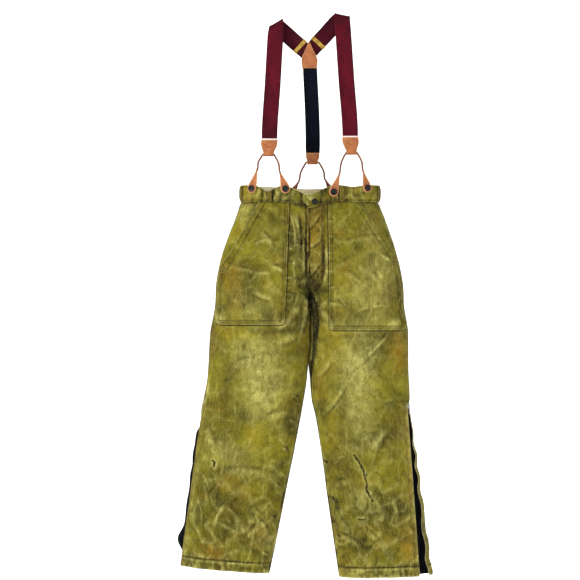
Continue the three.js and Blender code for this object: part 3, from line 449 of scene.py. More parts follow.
def plain_cloth(name, dark, light, weave_scale, roughness, sheen):
    recipe = Recipe(name)
    cloudy = recipe.spread(recipe.noise(45, 5, 0.6), 0.3, 0.7)
    weave = recipe.times(recipe.wave(weave_scale, "X", 0.4), recipe.wave(weave_scale, "Y", 0.4))
    colour = recipe.mix(cloudy, dark, light)
    recipe.colour(recipe.mix(recipe.times(weave, 0.3), colour, dark))
    recipe.set("Roughness", recipe.spread(cloudy, -roughness / (1 - roughness) - 0.2, 1.2))
    recipe.set("Specular IOR Level", 0.05)
    recipe.set("Sheen Weight", sheen)
    recipe.bump((recipe.noise(90, 4), 0.001, 0.4), (weave, 0.0002, 0.7))
    return recipe.material


def webbing_material(name, dark, light, gloss, rib_scale):
    """Woven ribbon: fine ribs across, satin, with darker selvedges and fading along its length."""
    recipe = Recipe(name)
    ribs = recipe.wave(rib_scale, "Y", 0.3)
    threads = recipe.wave(rib_scale * 0.7, "X", 0.5)
    fading = recipe.spread(recipe.noise(14, 4, 0.5, (1, 0.5, 1)), 0.35, 0.65)
    patches = recipe.spread(recipe.noise(70, 5), 0.35, 0.7)
    colour = recipe.mix(fading, dark, light)
    colour = recipe.mix(recipe.times(patches, 0.35), colour, dark)
    colour = recipe.mix(recipe.times(recipe.mark("wear_and_highlight"), 0.55), colour, light)
    colour = recipe.mix(recipe.times(recipe.mark("grime_and_shade"), 0.6), colour, dark)
    recipe.colour(recipe.mix(recipe.times(ribs, 0.25), colour, dark))
    recipe.set("Roughness", recipe.spread(recipe.sum(ribs, patches), -1.4, 3.6))
    recipe.set("Specular IOR Level", gloss)
    recipe.set("Sheen Weight", 0.03)
    recipe.set("Sheen Roughness", 0.35)
    recipe.bump((recipe.noise(60, 3), 0.0008, 0.35), (ribs, 0.0003, 0.7), (threads, 0.0001, 0.5))
    return recipe.material


def leather_material(name, dark, light, edge):
    recipe = Recipe(name)
    cloudy = recipe.spread(recipe.noise(55, 5, 0.5), 0.3, 0.7)
    grain = recipe.cracks(900, 0.12)
    creased = recipe.cracks(170, 0.05)
    colour = recipe.mix(cloudy, dark, light)
    colour = recipe.mix(recipe.times(creased, 0.35), colour, dark)
    colour = recipe.mix(recipe.times(recipe.mark("wear_and_highlight"), 0.75), colour, edge)
    colour = recipe.mix(recipe.times(recipe.mark("grime_and_shade"), 0.7), colour, dark)
    recipe.colour(recipe.mix(recipe.times(grain, 0.2), colour, dark))
    recipe.set("Roughness", recipe.spread(recipe.sum(cloudy, grain), -1.4, 2.8))
    recipe.set("Specular IOR Level", 0.3)
    recipe.set("Coat Weight", 0.03)
    recipe.set("Coat Roughness", 0.4)
    recipe.bump((recipe.noise(80, 4), 0.0007, 0.4), (grain, 0.00015, 0.6))
    return recipe.material


def metal_material(name, dark, light, roughness):
    recipe = Recipe(name)
    recipe.place = recipe.node("TexCoord", output="Object")
    tarnish = recipe.spread(recipe.noise(160, 6, 0.7), 0.35, 0.7)
    scratches = recipe.noise(700, 3, 0.2, (1, 12, 1))
    colour = recipe.mix(tarnish, dark, light)
    recipe.colour(recipe.mix(recipe.times(scratches, 0.3), colour, dark))
    recipe.set("Metallic", 1.0)
    recipe.set("Roughness", recipe.spread(recipe.sum(tarnish, scratches), -roughness * 4, 3.2))
    recipe.bump((scratches, 0.00008, 0.5), (tarnish, 0.0001, 0.4))
    return recipe.material


def horn_material():
    """Dark moulded buttons with a faint marbling."""
    recipe = Recipe("button_horn")
    recipe.place = recipe.node("TexCoord", output="Object")
    marble = recipe.spread(recipe.noise(220, 6, 2.5), 0.4, 0.7)
    recipe.colour(recipe.mix(marble, (5, 4, 4), (24, 20, 19)))
    recipe.set("Roughness", recipe.spread(marble, -1.2, 2.6))
    recipe.set("Specular IOR Level", 0.2)
    recipe.set("Coat Weight", 0.04)
    recipe.set("Coat Roughness", 0.25)
    recipe.bump((recipe.noise(500, 4), 0.00006, 0.5))
    return recipe.material


def thread_material(name, dark, light):
    recipe = Recipe(name)
    recipe.place = recipe.node("TexCoord", output="Object")
    fuzz = recipe.spread(recipe.noise(900, 3), 0.3, 0.7)
    age = recipe.spread(recipe.noise(30, 4), 0.35, 0.65)
    recipe.colour(recipe.mix(recipe.times(fuzz, age), dark, light))
    recipe.set("Roughness", recipe.spread(fuzz, -2.2, 1.6))
    recipe.set("Sheen Weight", 0.04)
    recipe.set("Specular IOR Level", 0.1)
    recipe.bump((fuzz, 0.00008, 0.6))
    return recipe.material


def make_materials():
    olive = {"low": (86, 80, 8), "high": (156, 146, 30), "wear_and_highlight": (214, 207, 118), "grime_and_shade": (36, 31, 6),
             "stain": (160, 116, 30)}
    trim = {"low": (82, 74, 18), "high": (124, 112, 36), "wear_and_highlight": (180, 170, 104), "grime_and_shade": (34, 28, 8),
            "stain": (158, 122, 48)}
    return {
        "canvas": canvas_material("waxed_canvas", **olive),
        "trim": canvas_material("waxed_canvas_trim", **trim, weave_scale=360),
        "lining": plain_cloth("cotton_lining", (150, 138, 100), (206, 196, 158), 420, 0.9, 0.1),
        "binding": plain_cloth("pale_binding", (214, 200, 196), (240, 232, 228), 500, 0.8, 0.05),
        "gusset": plain_cloth("gusset_nylon", (1, 1, 2), (8, 9, 12), 500, 0.6, 0.0),
        "tape": plain_cloth("zip_tape", (96, 84, 40), (150, 136, 82), 600, 0.8, 0.1),
        "dark_tape": plain_cloth("fly_tape", (20, 18, 14), (46, 42, 30), 600, 0.8, 0.1),
        "maroon": webbing_material("maroon_webbing", (40, 2, 12), (98, 10, 28), 0.06, 300),
        "navy": webbing_material("navy_elastic", (2, 3, 10), (9, 12, 28), 0.04, 240),
        "leather": leather_material("tan_leather", (112, 60, 26), (176, 107, 56), (214, 160, 106)),
        "dark_leather": leather_material("dark_leather", (66, 26, 22), (122, 60, 44), (158, 104, 80)),
        "cord_leather": leather_material("rolled_leather", (72, 40, 26), (128, 78, 48), (160, 108, 72)),
        "brass": metal_material("brass", (110, 84, 34), (206, 172, 84), 0.35),
        "steel": metal_material("zip_steel", (120, 118, 110), (198, 196, 188), 0.3),
        "old_teeth": metal_material("zip_teeth", (150, 138, 92), (214, 204, 158), 0.45),
        "horn": horn_material(),
        "olive_thread": thread_material("olive_thread", (74, 64, 20), (150, 134, 66)),
        "pale_thread": thread_material("pale_thread", (140, 128, 78), (222, 214, 170)),
        "tan_thread": thread_material("tan_thread", (150, 98, 44), (226, 188, 120)),
        "dark_thread": thread_material("dark_thread", (14, 12, 10), (50, 42, 34)),
    }


# ---- small maths ----


def along(table, h):
    """A smooth monotone curve through (height, value) points, heights falling."""
    points = np.array(table, float)[::-1]
    x, y = points[:, 0], points[:, 1]
    step = np.diff(x)
    slope = np.diff(y) / step
    tangent = np.zeros(len(x))
    same = slope[:-1] * slope[1:] > 0
    inner = np.where(same, 2 * slope[:-1] * slope[1:] / np.where(same, slope[:-1] + slope[1:], 1), 0)
    tangent[1:-1] = inner
    tangent[0], tangent[-1] = slope[0], slope[-1]
    h = np.clip(h, x[0], x[-1])
    k = np.clip(np.searchsorted(x, h) - 1, 0, len(step) - 1)
    s = (h - x[k]) / step[k]
    return (
        (2 * s**3 - 3 * s**2 + 1) * y[k] + (s**3 - 2 * s**2 + s) * step[k] * tangent[k]
        + (3 * s**2 - 2 * s**3) * y[k + 1] + (s**3 - s**2) * step[k] * tangent[k + 1]
    )


def power(value, exponent):
    return np.sign(value) * np.abs(value) ** exponent


def bell(x, centre, width):
    return np.exp(-(((x - centre) / width) ** 2))


def ease(value, low=0.0, high=1.0):
    s = np.clip((value - low) / (high - low), 0, 1)
    return s * s * (3 - 2 * s)


NOISE_CELLS = 64


def noise(u, v, seed):
    """Smooth noise, about -1 to 1, with cells one unit wide."""
    turns = np.random.default_rng(seed).uniform(0, 2 * np.pi, (NOISE_CELLS, NOISE_CELLS))
    i, j = np.floor(u).astype(int), np.floor(v).astype(int)
    a, b = u - i, v - j
    fade_a, fade_b = a * a * a * (a * (6 * a - 15) + 10), b * b * b * (b * (6 * b - 15) + 10)
    total = 0.0
    for right in (0, 1):
        for up in (0, 1):
            turn = turns[(i + right) % NOISE_CELLS, (j + up) % NOISE_CELLS]
            share = (fade_a if right else 1 - fade_a) * (fade_b if up else 1 - fade_b)
            total = total + share * ((a - right) * np.cos(turn) + (b - up) * np.sin(turn))
    return 1.5 * total


def ridge(u, v, seed, sharpness=7):
    """Thin ridges, 0 to 1."""
    return (1 - np.minimum(1, np.abs(noise(u, v, seed)))) ** sharpness


def unit(vectors):
    return vectors / np.maximum(np.linalg.norm(vectors, axis=-1, keepdims=True), 1e-9)


def even_steps(curve, start, end, count):
    """Parameters from start to end that step evenly along a plane curve."""
    dense = np.linspace(start, end, 1500)
    points = np.stack(curve(dense), -1)
    length = np.concatenate([[0], np.cumsum(np.linalg.norm(np.diff(points, axis=0), axis=-1))])
    return np.interp(np.linspace(0, length[-1], count + 1), length, dense)


# ---- the cloth's surface ----


def seam_sag(x):
    """The waistband sags at the fly."""
    return 16 * bell(x, -4, 38)


def top_sag(x, face):
    front = 25 * bell(x, -4, 42) + 17 * bell(x, -108, 22) + 5 * bell(x, 110, 25)
    return np.where(face > 0, 6 * bell(x, 0, 70), front)


def settled(x, face, h):
    fade = np.clip((h - FADE_HEIGHT) / (WAIST_SEAM - FADE_HEIGHT), 0, 1)
    return h - np.where(face > 0, 0, seam_sag(x) * fade)


def section(leg, h):
    outer, inner = along(leg["outer"], h), along(leg["inner"], h)
    return (outer + inner) / 2, (outer - inner) / 2, along(HALF_DEPTH, h)


def angle_at(leg, h, x):
    """The section angle, 0 at the side seam and pi at the inner edge, at x from the centre line."""
    centre, half_width, _ = section(leg, h)
    return np.arccos(power(np.clip((x - centre) / half_width, -1, 1), ROUNDNESS / 2))


def crease_field(x, h):
    """Depth, ridge and valley of the creases in the front, at signed x."""
    depth, raised, sunk = np.zeros_like(x), np.zeros_like(x), np.zeros_like(x)
    for x0, h0, x1, h1, width, deep in CREASES:
        run = np.array([x1 - x0, h1 - h0], float)
        length = np.hypot(*run)
        run /= length
        s = ((x - x0) * run[0] + (h - h0) * run[1]) / length
        bend = 0.06 * length * np.sin(np.clip(s, 0, 1) * np.pi)
        d = (x - x0) * run[1] - (h - h0) * run[0] + bend
        taper = ease(s, -0.08, 0.25) * (1 - ease(s, 0.7, 1.08))
        core = bell(d, 0, width) * taper
        shoulder = bell(d, 1.7 * width, 1.2 * width) * taper
        depth += -deep * core + 0.55 * abs(deep) * shoulder * (1 if deep > 0 else -1)
        line = bell(d, 0, 0.6 * width) * taper
        raised += (line if deep < 0 else 0.8 * shoulder) * min(1.4, abs(deep))
        sunk += (line if deep > 0 else 0.4 * shoulder) * min(1.6, abs(deep))
    return depth, raised, sunk


def cloth_field(leg, face, x, depth_share, h):
    """How far the cloth stands out, and how raised and sunk it is there. x is signed."""
    centre, _, half_depth = section(leg, h)
    away = np.abs(x) - centre
    q = np.abs(x) + np.sign(away) * half_depth * (1 - depth_share)
    seed = 11 + (0 if leg["side"] > 0 else 50) + (0 if face < 0 else 100)
    low_leg = 1 - ease(h, 120, 480)
    crotch = bell(np.abs(x), 0, 80) * bell(h, 770, 110)
    busy = 0.45 + 0.75 * low_leg + 0.9 * crotch
    broad = 4.4 * noise(q / 75, h / 190, seed) + 3.0 * noise(q / 42 + 0.004 * h, h / 90, seed + 1)
    warp = 0.35 * noise(q / 30, h / 40, seed + 2)
    raised = ridge(q / 62 + warp + h / 150, h / 70 - q / 160, seed + 3, 9)
    sunk = ridge(q / 58 + warp - h / 170, h / 84 + q / 140, seed + 4, 9)
    fine_raised = ridge(q / 26 + warp, h / 30 + warp, seed + 5, 8)
    fine_sunk = ridge(q / 24 - warp, h / 34 + warp, seed + 6, 8)
    fine = 0.35 * noise(q / 11, h / 13, seed + 7)
    out = broad + busy * (1.5 * raised - 1.7 * sunk + 0.7 * fine_raised - 0.7 * fine_sunk + 0.7 * fine)
    raised = busy * (0.75 * raised + 0.3 * fine_raised)
    sunk = busy * (0.75 * sunk + 0.3 * fine_sunk)
    if face < 0:
        depth, extra_raised, extra_sunk = crease_field(x, h)
        out, raised, sunk = out + depth, raised + extra_raised, sunk + extra_sunk
    # Puckers beside the inseam, and ripples where the hem was turned and stitched.
    inner = np.abs(x) - along(leg["inner"], h)
    below = 1 - ease(h, 680, 730)
    pucker = np.maximum(0, noise(np.full_like(h, 0.5), h / 21, seed + 8)) * bell(inner, 19, 9) * below
    hem_line = leg["hem"] + HEM_DEPTH
    ripple = noise(q / 8, h / 40, seed + 9) * (1 - ease(h, hem_line, hem_line + 14))
    hem_groove = bell(h, hem_line, 2.6)
    out = out - 3.4 * pucker + 1.7 * ripple - 1.6 * hem_groove
    sunk = sunk + 1.8 * pucker + 0.8 * hem_groove + 1.1 * np.maximum(0, -ripple)
    raised = raised + 1.2 * np.maximum(0, ripple) + 0.8 * bell(h, hem_line - 5, 3)
    # Seams lie flat, and the waist seam is held under the band.
    held = ease(depth_share, 0.05, 0.4) * np.where(h > 720, ease(np.abs(x), 3, 16), 1)
    held = held * (1 - 0.8 * ease(h, WAIST_SEAM - 26, WAIST_SEAM - 4))
    return out * held, raised, sunk


def cloth(leg, face, h, t, out=0.0):
    """Points of the cloth (mm, heights in z) with its folds, and how raised and sunk they are."""
    h, t = np.broadcast_arrays(np.asarray(h, float), np.asarray(t, float))
    centre, half_width, half_depth = section(leg, h)
    across, deep = power(np.cos(t), 2 / ROUNDNESS), power(np.sin(t), 2 / ROUNDNESS)
    x = leg["side"] * (centre + half_width * across)
    slant = leg["hem_slope"] * (np.abs(x) - centre) * (1 - ease(h, 0, 330))
    relief, raised, sunk = cloth_field(leg, face, x, np.abs(deep), h)
    normal_x = leg["side"] * power(across, ROUNDNESS - 1) / half_width
    normal_y = face * power(deep, ROUNDNESS - 1) / half_depth
    size = np.hypot(normal_x, normal_y)
    tuck = -2.6 * ease(h, WAIST_SEAM - 9, WAIST_SEAM - 2)
    lift = relief + out + tuck
    y = face * half_depth * deep + normal_y / size * lift
    points = np.stack([x + normal_x / size * lift, y, settled(x, face, h) - slant], -1)
    return points, raised, sunk


def marks(x, h, raised, sunk, face):
    """How worn, stained and grimy each point is, with painted highlight on ridges and painted shade in hollows."""
    # Raised ridges are painted pale, wear and partly painted highlight; sunk folds are painted dark, painted
    # shade.
    wear_and_highlight, stain, grime_and_shade = 0.75 * raised, np.zeros_like(x), np.minimum(0.85 * sunk, 0.8)
    if face < 0:
        # The tears are painted near-black along their line, painted shade in the torn gap, with wear pale beside
        # them.
        for tear in TEARS:
            for (x0, h0), (x1, h1) in zip(tear, tear[1:]):
                run = np.hypot(x1 - x0, h1 - h0)
                s = np.clip(((x - x0) * (x1 - x0) + (h - h0) * (h1 - h0)) / run**2, 0, 1)
                gap = np.hypot(x - x0 - s * (x1 - x0), h - h0 - s * (h1 - h0))
                torn = 0.8 + 0.8 * noise(x / 5, h / 7, 61)
                grime_and_shade = np.maximum(grime_and_shade, 2.4 * torn * bell(gap, 0, 1.8))
                wear_and_highlight = np.maximum(wear_and_highlight, 0.5 * bell(gap, 5.0, 2.5))
        # The wedge where the legs meet under the fork is painted near-black: a painted shadow.
        middle, half = (along([[row[0], row[k]] for row in FORK_SHADOW], h) for k in (1, 2))
        inside = 1 - ease(np.abs(x - middle) / half, 0.65, 1.1)
        inside = inside * ease(h, 505, 530) * (1 - ease(h, 738, 756))
        grime_and_shade = np.maximum(grime_and_shade, 2.1 * inside)
        for places, target in ((WORN, "wear_and_highlight"), (STAINS, "stain"), (GRIME_AND_SHADE, "grime_and_shade")):
            total = sum(strong * bell(x, px, wide) * bell(h, ph, high)
                        for px, ph, wide, high, strong in places)
            wear_and_highlight = wear_and_highlight + total if target == "wear_and_highlight" else wear_and_highlight
            stain = stain + total if target == "stain" else stain
            grime_and_shade = grime_and_shade + total if target == "grime_and_shade" else grime_and_shade
    else:
        seat = bell(np.abs(x), 95, 70) * bell(h, 800, 80)
        wear_and_highlight = wear_and_highlight + 0.5 * seat + 0.3 * bell(h, 430, 60) * bell(np.abs(x), 150, 60)
        grime_and_shade = grime_and_shade + 0.3 * bell(h, 120, 90)
        stain = stain + 0.4 * bell(h, 60, 30) * bell(np.abs(x), 190, 60)
    return {"wear_and_highlight": np.clip(wear_and_highlight, 0, 1.3), "stain": np.clip(stain, 0, 1.2), "grime_and_shade": np.clip(grime_and_shade, 0, 2.4)}


# ---- meshes ----


def metres(points):
    out = np.asarray(points, float) * MM
    out[..., 2] -= REST_HEIGHT * MM
    return out


def mesh_piece(name, points, faces, material, uv=None, values=None, smooth=True):
    """A mesh from points in mm. uv is one pair a point, in metres, and values are point attributes."""
    mesh = bpy.data.meshes.new(name)
    mesh.from_pydata(metres(points).tolist(), [], faces)
    mesh.materials.append(material)
    if uv is not None:
        layer = mesh.uv_layers.new(name="UVMap")
        corners = np.empty(len(mesh.loops), np.int32)
        mesh.loops.foreach_get("vertex_index", corners)
        layer.data.foreach_set("uv", np.asarray(uv, np.float32)[corners].ravel())
    for key in ("wear_and_highlight", "grime_and_shade", "stain"):
        data = (values or {}).get(key)
        attribute = mesh.attributes.new(key, "FLOAT", "POINT")
        if data is not None:
            attribute.data.foreach_set("value", np.asarray(data, np.float32).ravel())
    mesh.polygons.foreach_set("use_smooth", [smooth] * len(mesh.polygons))
    mesh.update()
    piece = bpy.data.objects.new(name, mesh)
    bpy.context.scene.collection.objects.link(piece)
    return piece


def grid_normals(grid, outward=None):
    """Unit normals of a grid of points, turned towards outward where it is given."""
    run = np.gradient(grid, axis=1)
    drop = np.gradient(grid, axis=0)
    normal = unit(np.cross(run, drop))
    if outward is not None:
        flip = np.sign(np.sum(normal * outward, -1, keepdims=True))
        normal = normal * np.where(flip == 0, 1, flip)
    return normal


def sheet_mesh(name, outer, inner, material, uv, values=None, rim=0.5, closed=False, holes=None):
    """A sheet between two grids, with a rounded rim. A closed one joins its last column to its first."""
    rows, columns = outer.shape[:2]
    count = rows * columns
    index = np.arange(count).reshape(rows, columns)
    points = [outer.reshape(-1, 3), inner.reshape(-1, 3)]
    flat_uv = np.asarray(uv).reshape(-1, 2)
    uvs = [flat_uv, flat_uv]
    keep = np.ones((rows - 1, columns - 1), bool) if holes is None else ~holes
    i, j = np.nonzero(keep)
    a, b, c, d = index[i, j], index[i, j + 1], index[i + 1, j + 1], index[i + 1, j]
    faces = np.stack([a, b, c, d], 1).tolist()
    faces += np.stack([a + count, d + count, c + count, b + count], 1).tolist()
    if closed:
        last, first = index[:, -1], index[:, 0]
        for r in range(rows - 1):
            faces.append([last[r], first[r], first[r + 1], last[r + 1]])
            faces.append([last[r] + count, last[r + 1] + count, first[r + 1] + count, first[r] + count])
    loops = border_loops(index, keep, closed)
    next_point = 2 * count
    extra_source = []
    for loop in loops:
        edge = np.array(loop)
        middle = (points[0][edge] + points[1][edge]) / 2
        before, after = np.roll(middle, 1, 0), np.roll(middle, -1, 0)
        run = unit(after - before)
        through = unit(points[0][edge] - points[1][edge])
        side = unit(np.cross(run, through))
        thickness = np.linalg.norm(points[0][edge] - points[1][edge], axis=1, keepdims=True)
        ring = middle + side * thickness * rim
        points.append(ring)
        uvs.append(flat_uv[edge])
        extra_source.append(edge)
        size = len(edge)
        for k in range(size):
            n = (k + 1) % size
            faces.append([int(edge[n]), int(edge[k]), next_point + k, next_point + n])
            faces.append([next_point + n, next_point + k, int(edge[k]) + count, int(edge[n]) + count])
        next_point += size
    marks_of = {}
    for key, data in (values or {}).items():
        flat = np.asarray(data).reshape(-1)
        marks_of[key] = np.concatenate([flat, flat] + [flat[edge] for edge in extra_source])
    piece = mesh_piece(name, np.concatenate(points), faces, material, np.concatenate(uvs), marks_of)
    face_outwards(piece)
    return piece


def border_loops(index, keep, closed):
    """The loops of grid points round a sheet and round its holes, each in the order its faces give."""
    follow = {}
    rows, columns = keep.shape
    for i in range(rows):
        for j in range(columns):
            if not keep[i, j]:
                continue
            ring = [index[i, j], index[i, j + 1], index[i + 1, j + 1], index[i + 1, j]]
            sides = [
                (i == 0 or not keep[i - 1, j]), (j == columns - 1 or not keep[i, j + 1]),
                (i == rows - 1 or not keep[i + 1, j]), (j == 0 or not keep[i, j - 1]),
            ]
            if closed and j == columns - 1:
                sides[1] = False
            if closed and j == 0:
                sides[3] = False
            for k in range(4):
                if sides[k]:
                    follow[int(ring[k])] = int(ring[(k + 1) % 4])
    if closed:
        follow[int(index[0, -1])] = int(index[0, 0])
        follow[int(index[-1, 0])] = int(index[-1, -1])
    loops = []
    while follow:
        start, here = next(iter(follow.items()))
        loop = [start]
        del follow[start]
        while here != start and here in follow:
            loop.append(here)
            here = follow.pop(here)
        if here == start:
            loops.append(loop)
    return loops


def face_outwards(piece):
    """Turns a closed mesh's faces outwards."""
    mesh = piece.data
    mesh.calc_loop_triangles()
    places = np.empty(len(mesh.vertices) * 3, np.float32)
    mesh.vertices.foreach_get("co", places)
    corners = np.empty(len(mesh.loop_triangles) * 3, np.int32)
    mesh.loop_triangles.foreach_get("vertices", corners)
    a, b, c = places.reshape(-1, 3)[corners].reshape(-1, 3, 3).transpose(1, 0, 2)
    if np.sum(a * np.cross(b, c)) < 0:
        mesh.flip_normals()
        mesh.update()


def dress(piece, slot, *nodes):
    if nodes:
        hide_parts(*nodes)
    return piece


def sew_to_leg(piece):
    """Bakes the piece's transform into its mesh."""
    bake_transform(piece)
    return piece


# ---- stitches ----


class Threads:
    """Stitches gathered into one mesh."""

    def __init__(self):
        self.points = []
        self.faces = []

    def run(self, path, normals, length=3.0, gap=1.2, radius=THREAD, proud=0.25):
        """Stitches along a path: each a bent lozenge that dips into the cloth at both ends."""
        steps = np.linalg.norm(np.diff(path, axis=0), axis=1)
        distance = np.concatenate([[0], np.cumsum(steps)])
        count = int(distance[-1] // (length + gap))
        if count < 1:
            return
        starts = (np.arange(count) + 0.5) * distance[-1] / count
        offsets = np.array([-0.5, -0.28, 0, 0.28, 0.5]) * length
        heights = np.array([-0.9, 0.35, 0.6, 0.35, -0.9]) * radius + proud
        widths = np.array([0.55, 0.95, 1, 0.95, 0.55]) * radius
        for middle in starts:
            rings = []
            for offset, height, width in zip(offsets, heights, widths):
                at = middle + offset
                here = np.array([np.interp(at, distance, path[:, k]) for k in range(3)])
                ahead = np.array([np.interp(at + 0.5, distance, path[:, k]) for k in range(3)])
                behind = np.array([np.interp(at - 0.5, distance, path[:, k]) for k in range(3)])
                up = np.array([np.interp(at, distance, normals[:, k]) for k in range(3)])
                up = up / (np.linalg.norm(up) + 1e-9)
                run = ahead - behind
                side = np.cross(run, up)
                side = side / (np.linalg.norm(side) + 1e-9)
                rings.append([here + up * height + (side * math.cos(a) + up * math.sin(a)) * width
                              for a in (0, math.pi / 2, math.pi, 1.5 * math.pi)])
            self.tube(rings)

    def tube(self, rings):
        base = len(self.points)
        sides = len(rings[0])
        for ring in rings:
            self.points.extend(ring)
        for r in range(len(rings) - 1):
            for k in range(sides):
                n = (k + 1) % sides
                first, second = base + r * sides, base + (r + 1) * sides
                self.faces.append([first + k, first + n, second + n, second + k])
        self.faces.append([base + k for k in reversed(range(sides))])
        self.faces.append([base + (len(rings) - 1) * sides + k for k in range(sides)])

    def piece(self, name, material):
        points = np.array(self.points)
        uv = points[:, [0, 2]] * MM
        made = mesh_piece(name, points, self.faces, material, uv)
        return made


class Surface:
    """A grid of points that stitches can follow."""

    def __init__(self, grid, normals):
        self.grid = grid
        self.normals = normals

    def at(self, i, j):
        rows, columns = self.grid.shape[:2]
        i, j = np.clip(i, 0, rows - 1.001), np.clip(j, 0, columns - 1.001)
        low_i, low_j = i.astype(int), j.astype(int)
        a, b = (i - low_i)[:, None], (j - low_j)[:, None]
        found = []
        for data in (self.grid, self.normals):
            top = data[low_i, low_j] * (1 - b) + data[low_i, low_j + 1] * b
            foot = data[low_i + 1, low_j] * (1 - b) + data[low_i + 1, low_j + 1] * b
            found.append(top * (1 - a) + foot * a)
        return found[0], unit(found[1])


# ---- trouser panels ----

FRONT_STEP = 2.4
BACK_STEP = 3.6


def zip_edge(leg, face):
    """The edge of a leg's zip opening: straight in front, slack and wavy behind."""
    top = cloth_base(leg, face, ZIP_TOP, leg["zip_top"][face])
    foot = cloth_base(leg, face, leg["hem"], leg["zip_hem"][face])

    def edge(h):
        share = ((np.asarray(h, float) - leg["hem"]) / (ZIP_TOP - leg["hem"]))[..., None]
        points = foot * (1 - share) + top * share
        if face > 0:
            slack = ease(1 - share[..., 0], 0.02, 0.3)
            wave = 2.6 * slack * np.sin(h / 12 + 1.3 * np.sin(h / 47))
            points = points + np.stack([leg["side"] * wave, 0.8 * wave, 0 * wave], -1)
        return points

    return edge


def cloth_base(leg, face, h, t):
    """A point of the smooth section, without folds."""
    centre, half_width, half_depth = (float(value) for value in section(leg, np.array(float(h))))
    x = leg["side"] * (centre + half_width * math.cos(t) ** (2 / ROUNDNESS))
    slant = leg["hem_slope"] * (abs(x) - centre) * (1 - float(ease(h, 0, 330)))
    deep = math.copysign(abs(math.sin(t)) ** (2 / ROUNDNESS), t)
    return np.array([x, face * half_depth * deep, h - slant])


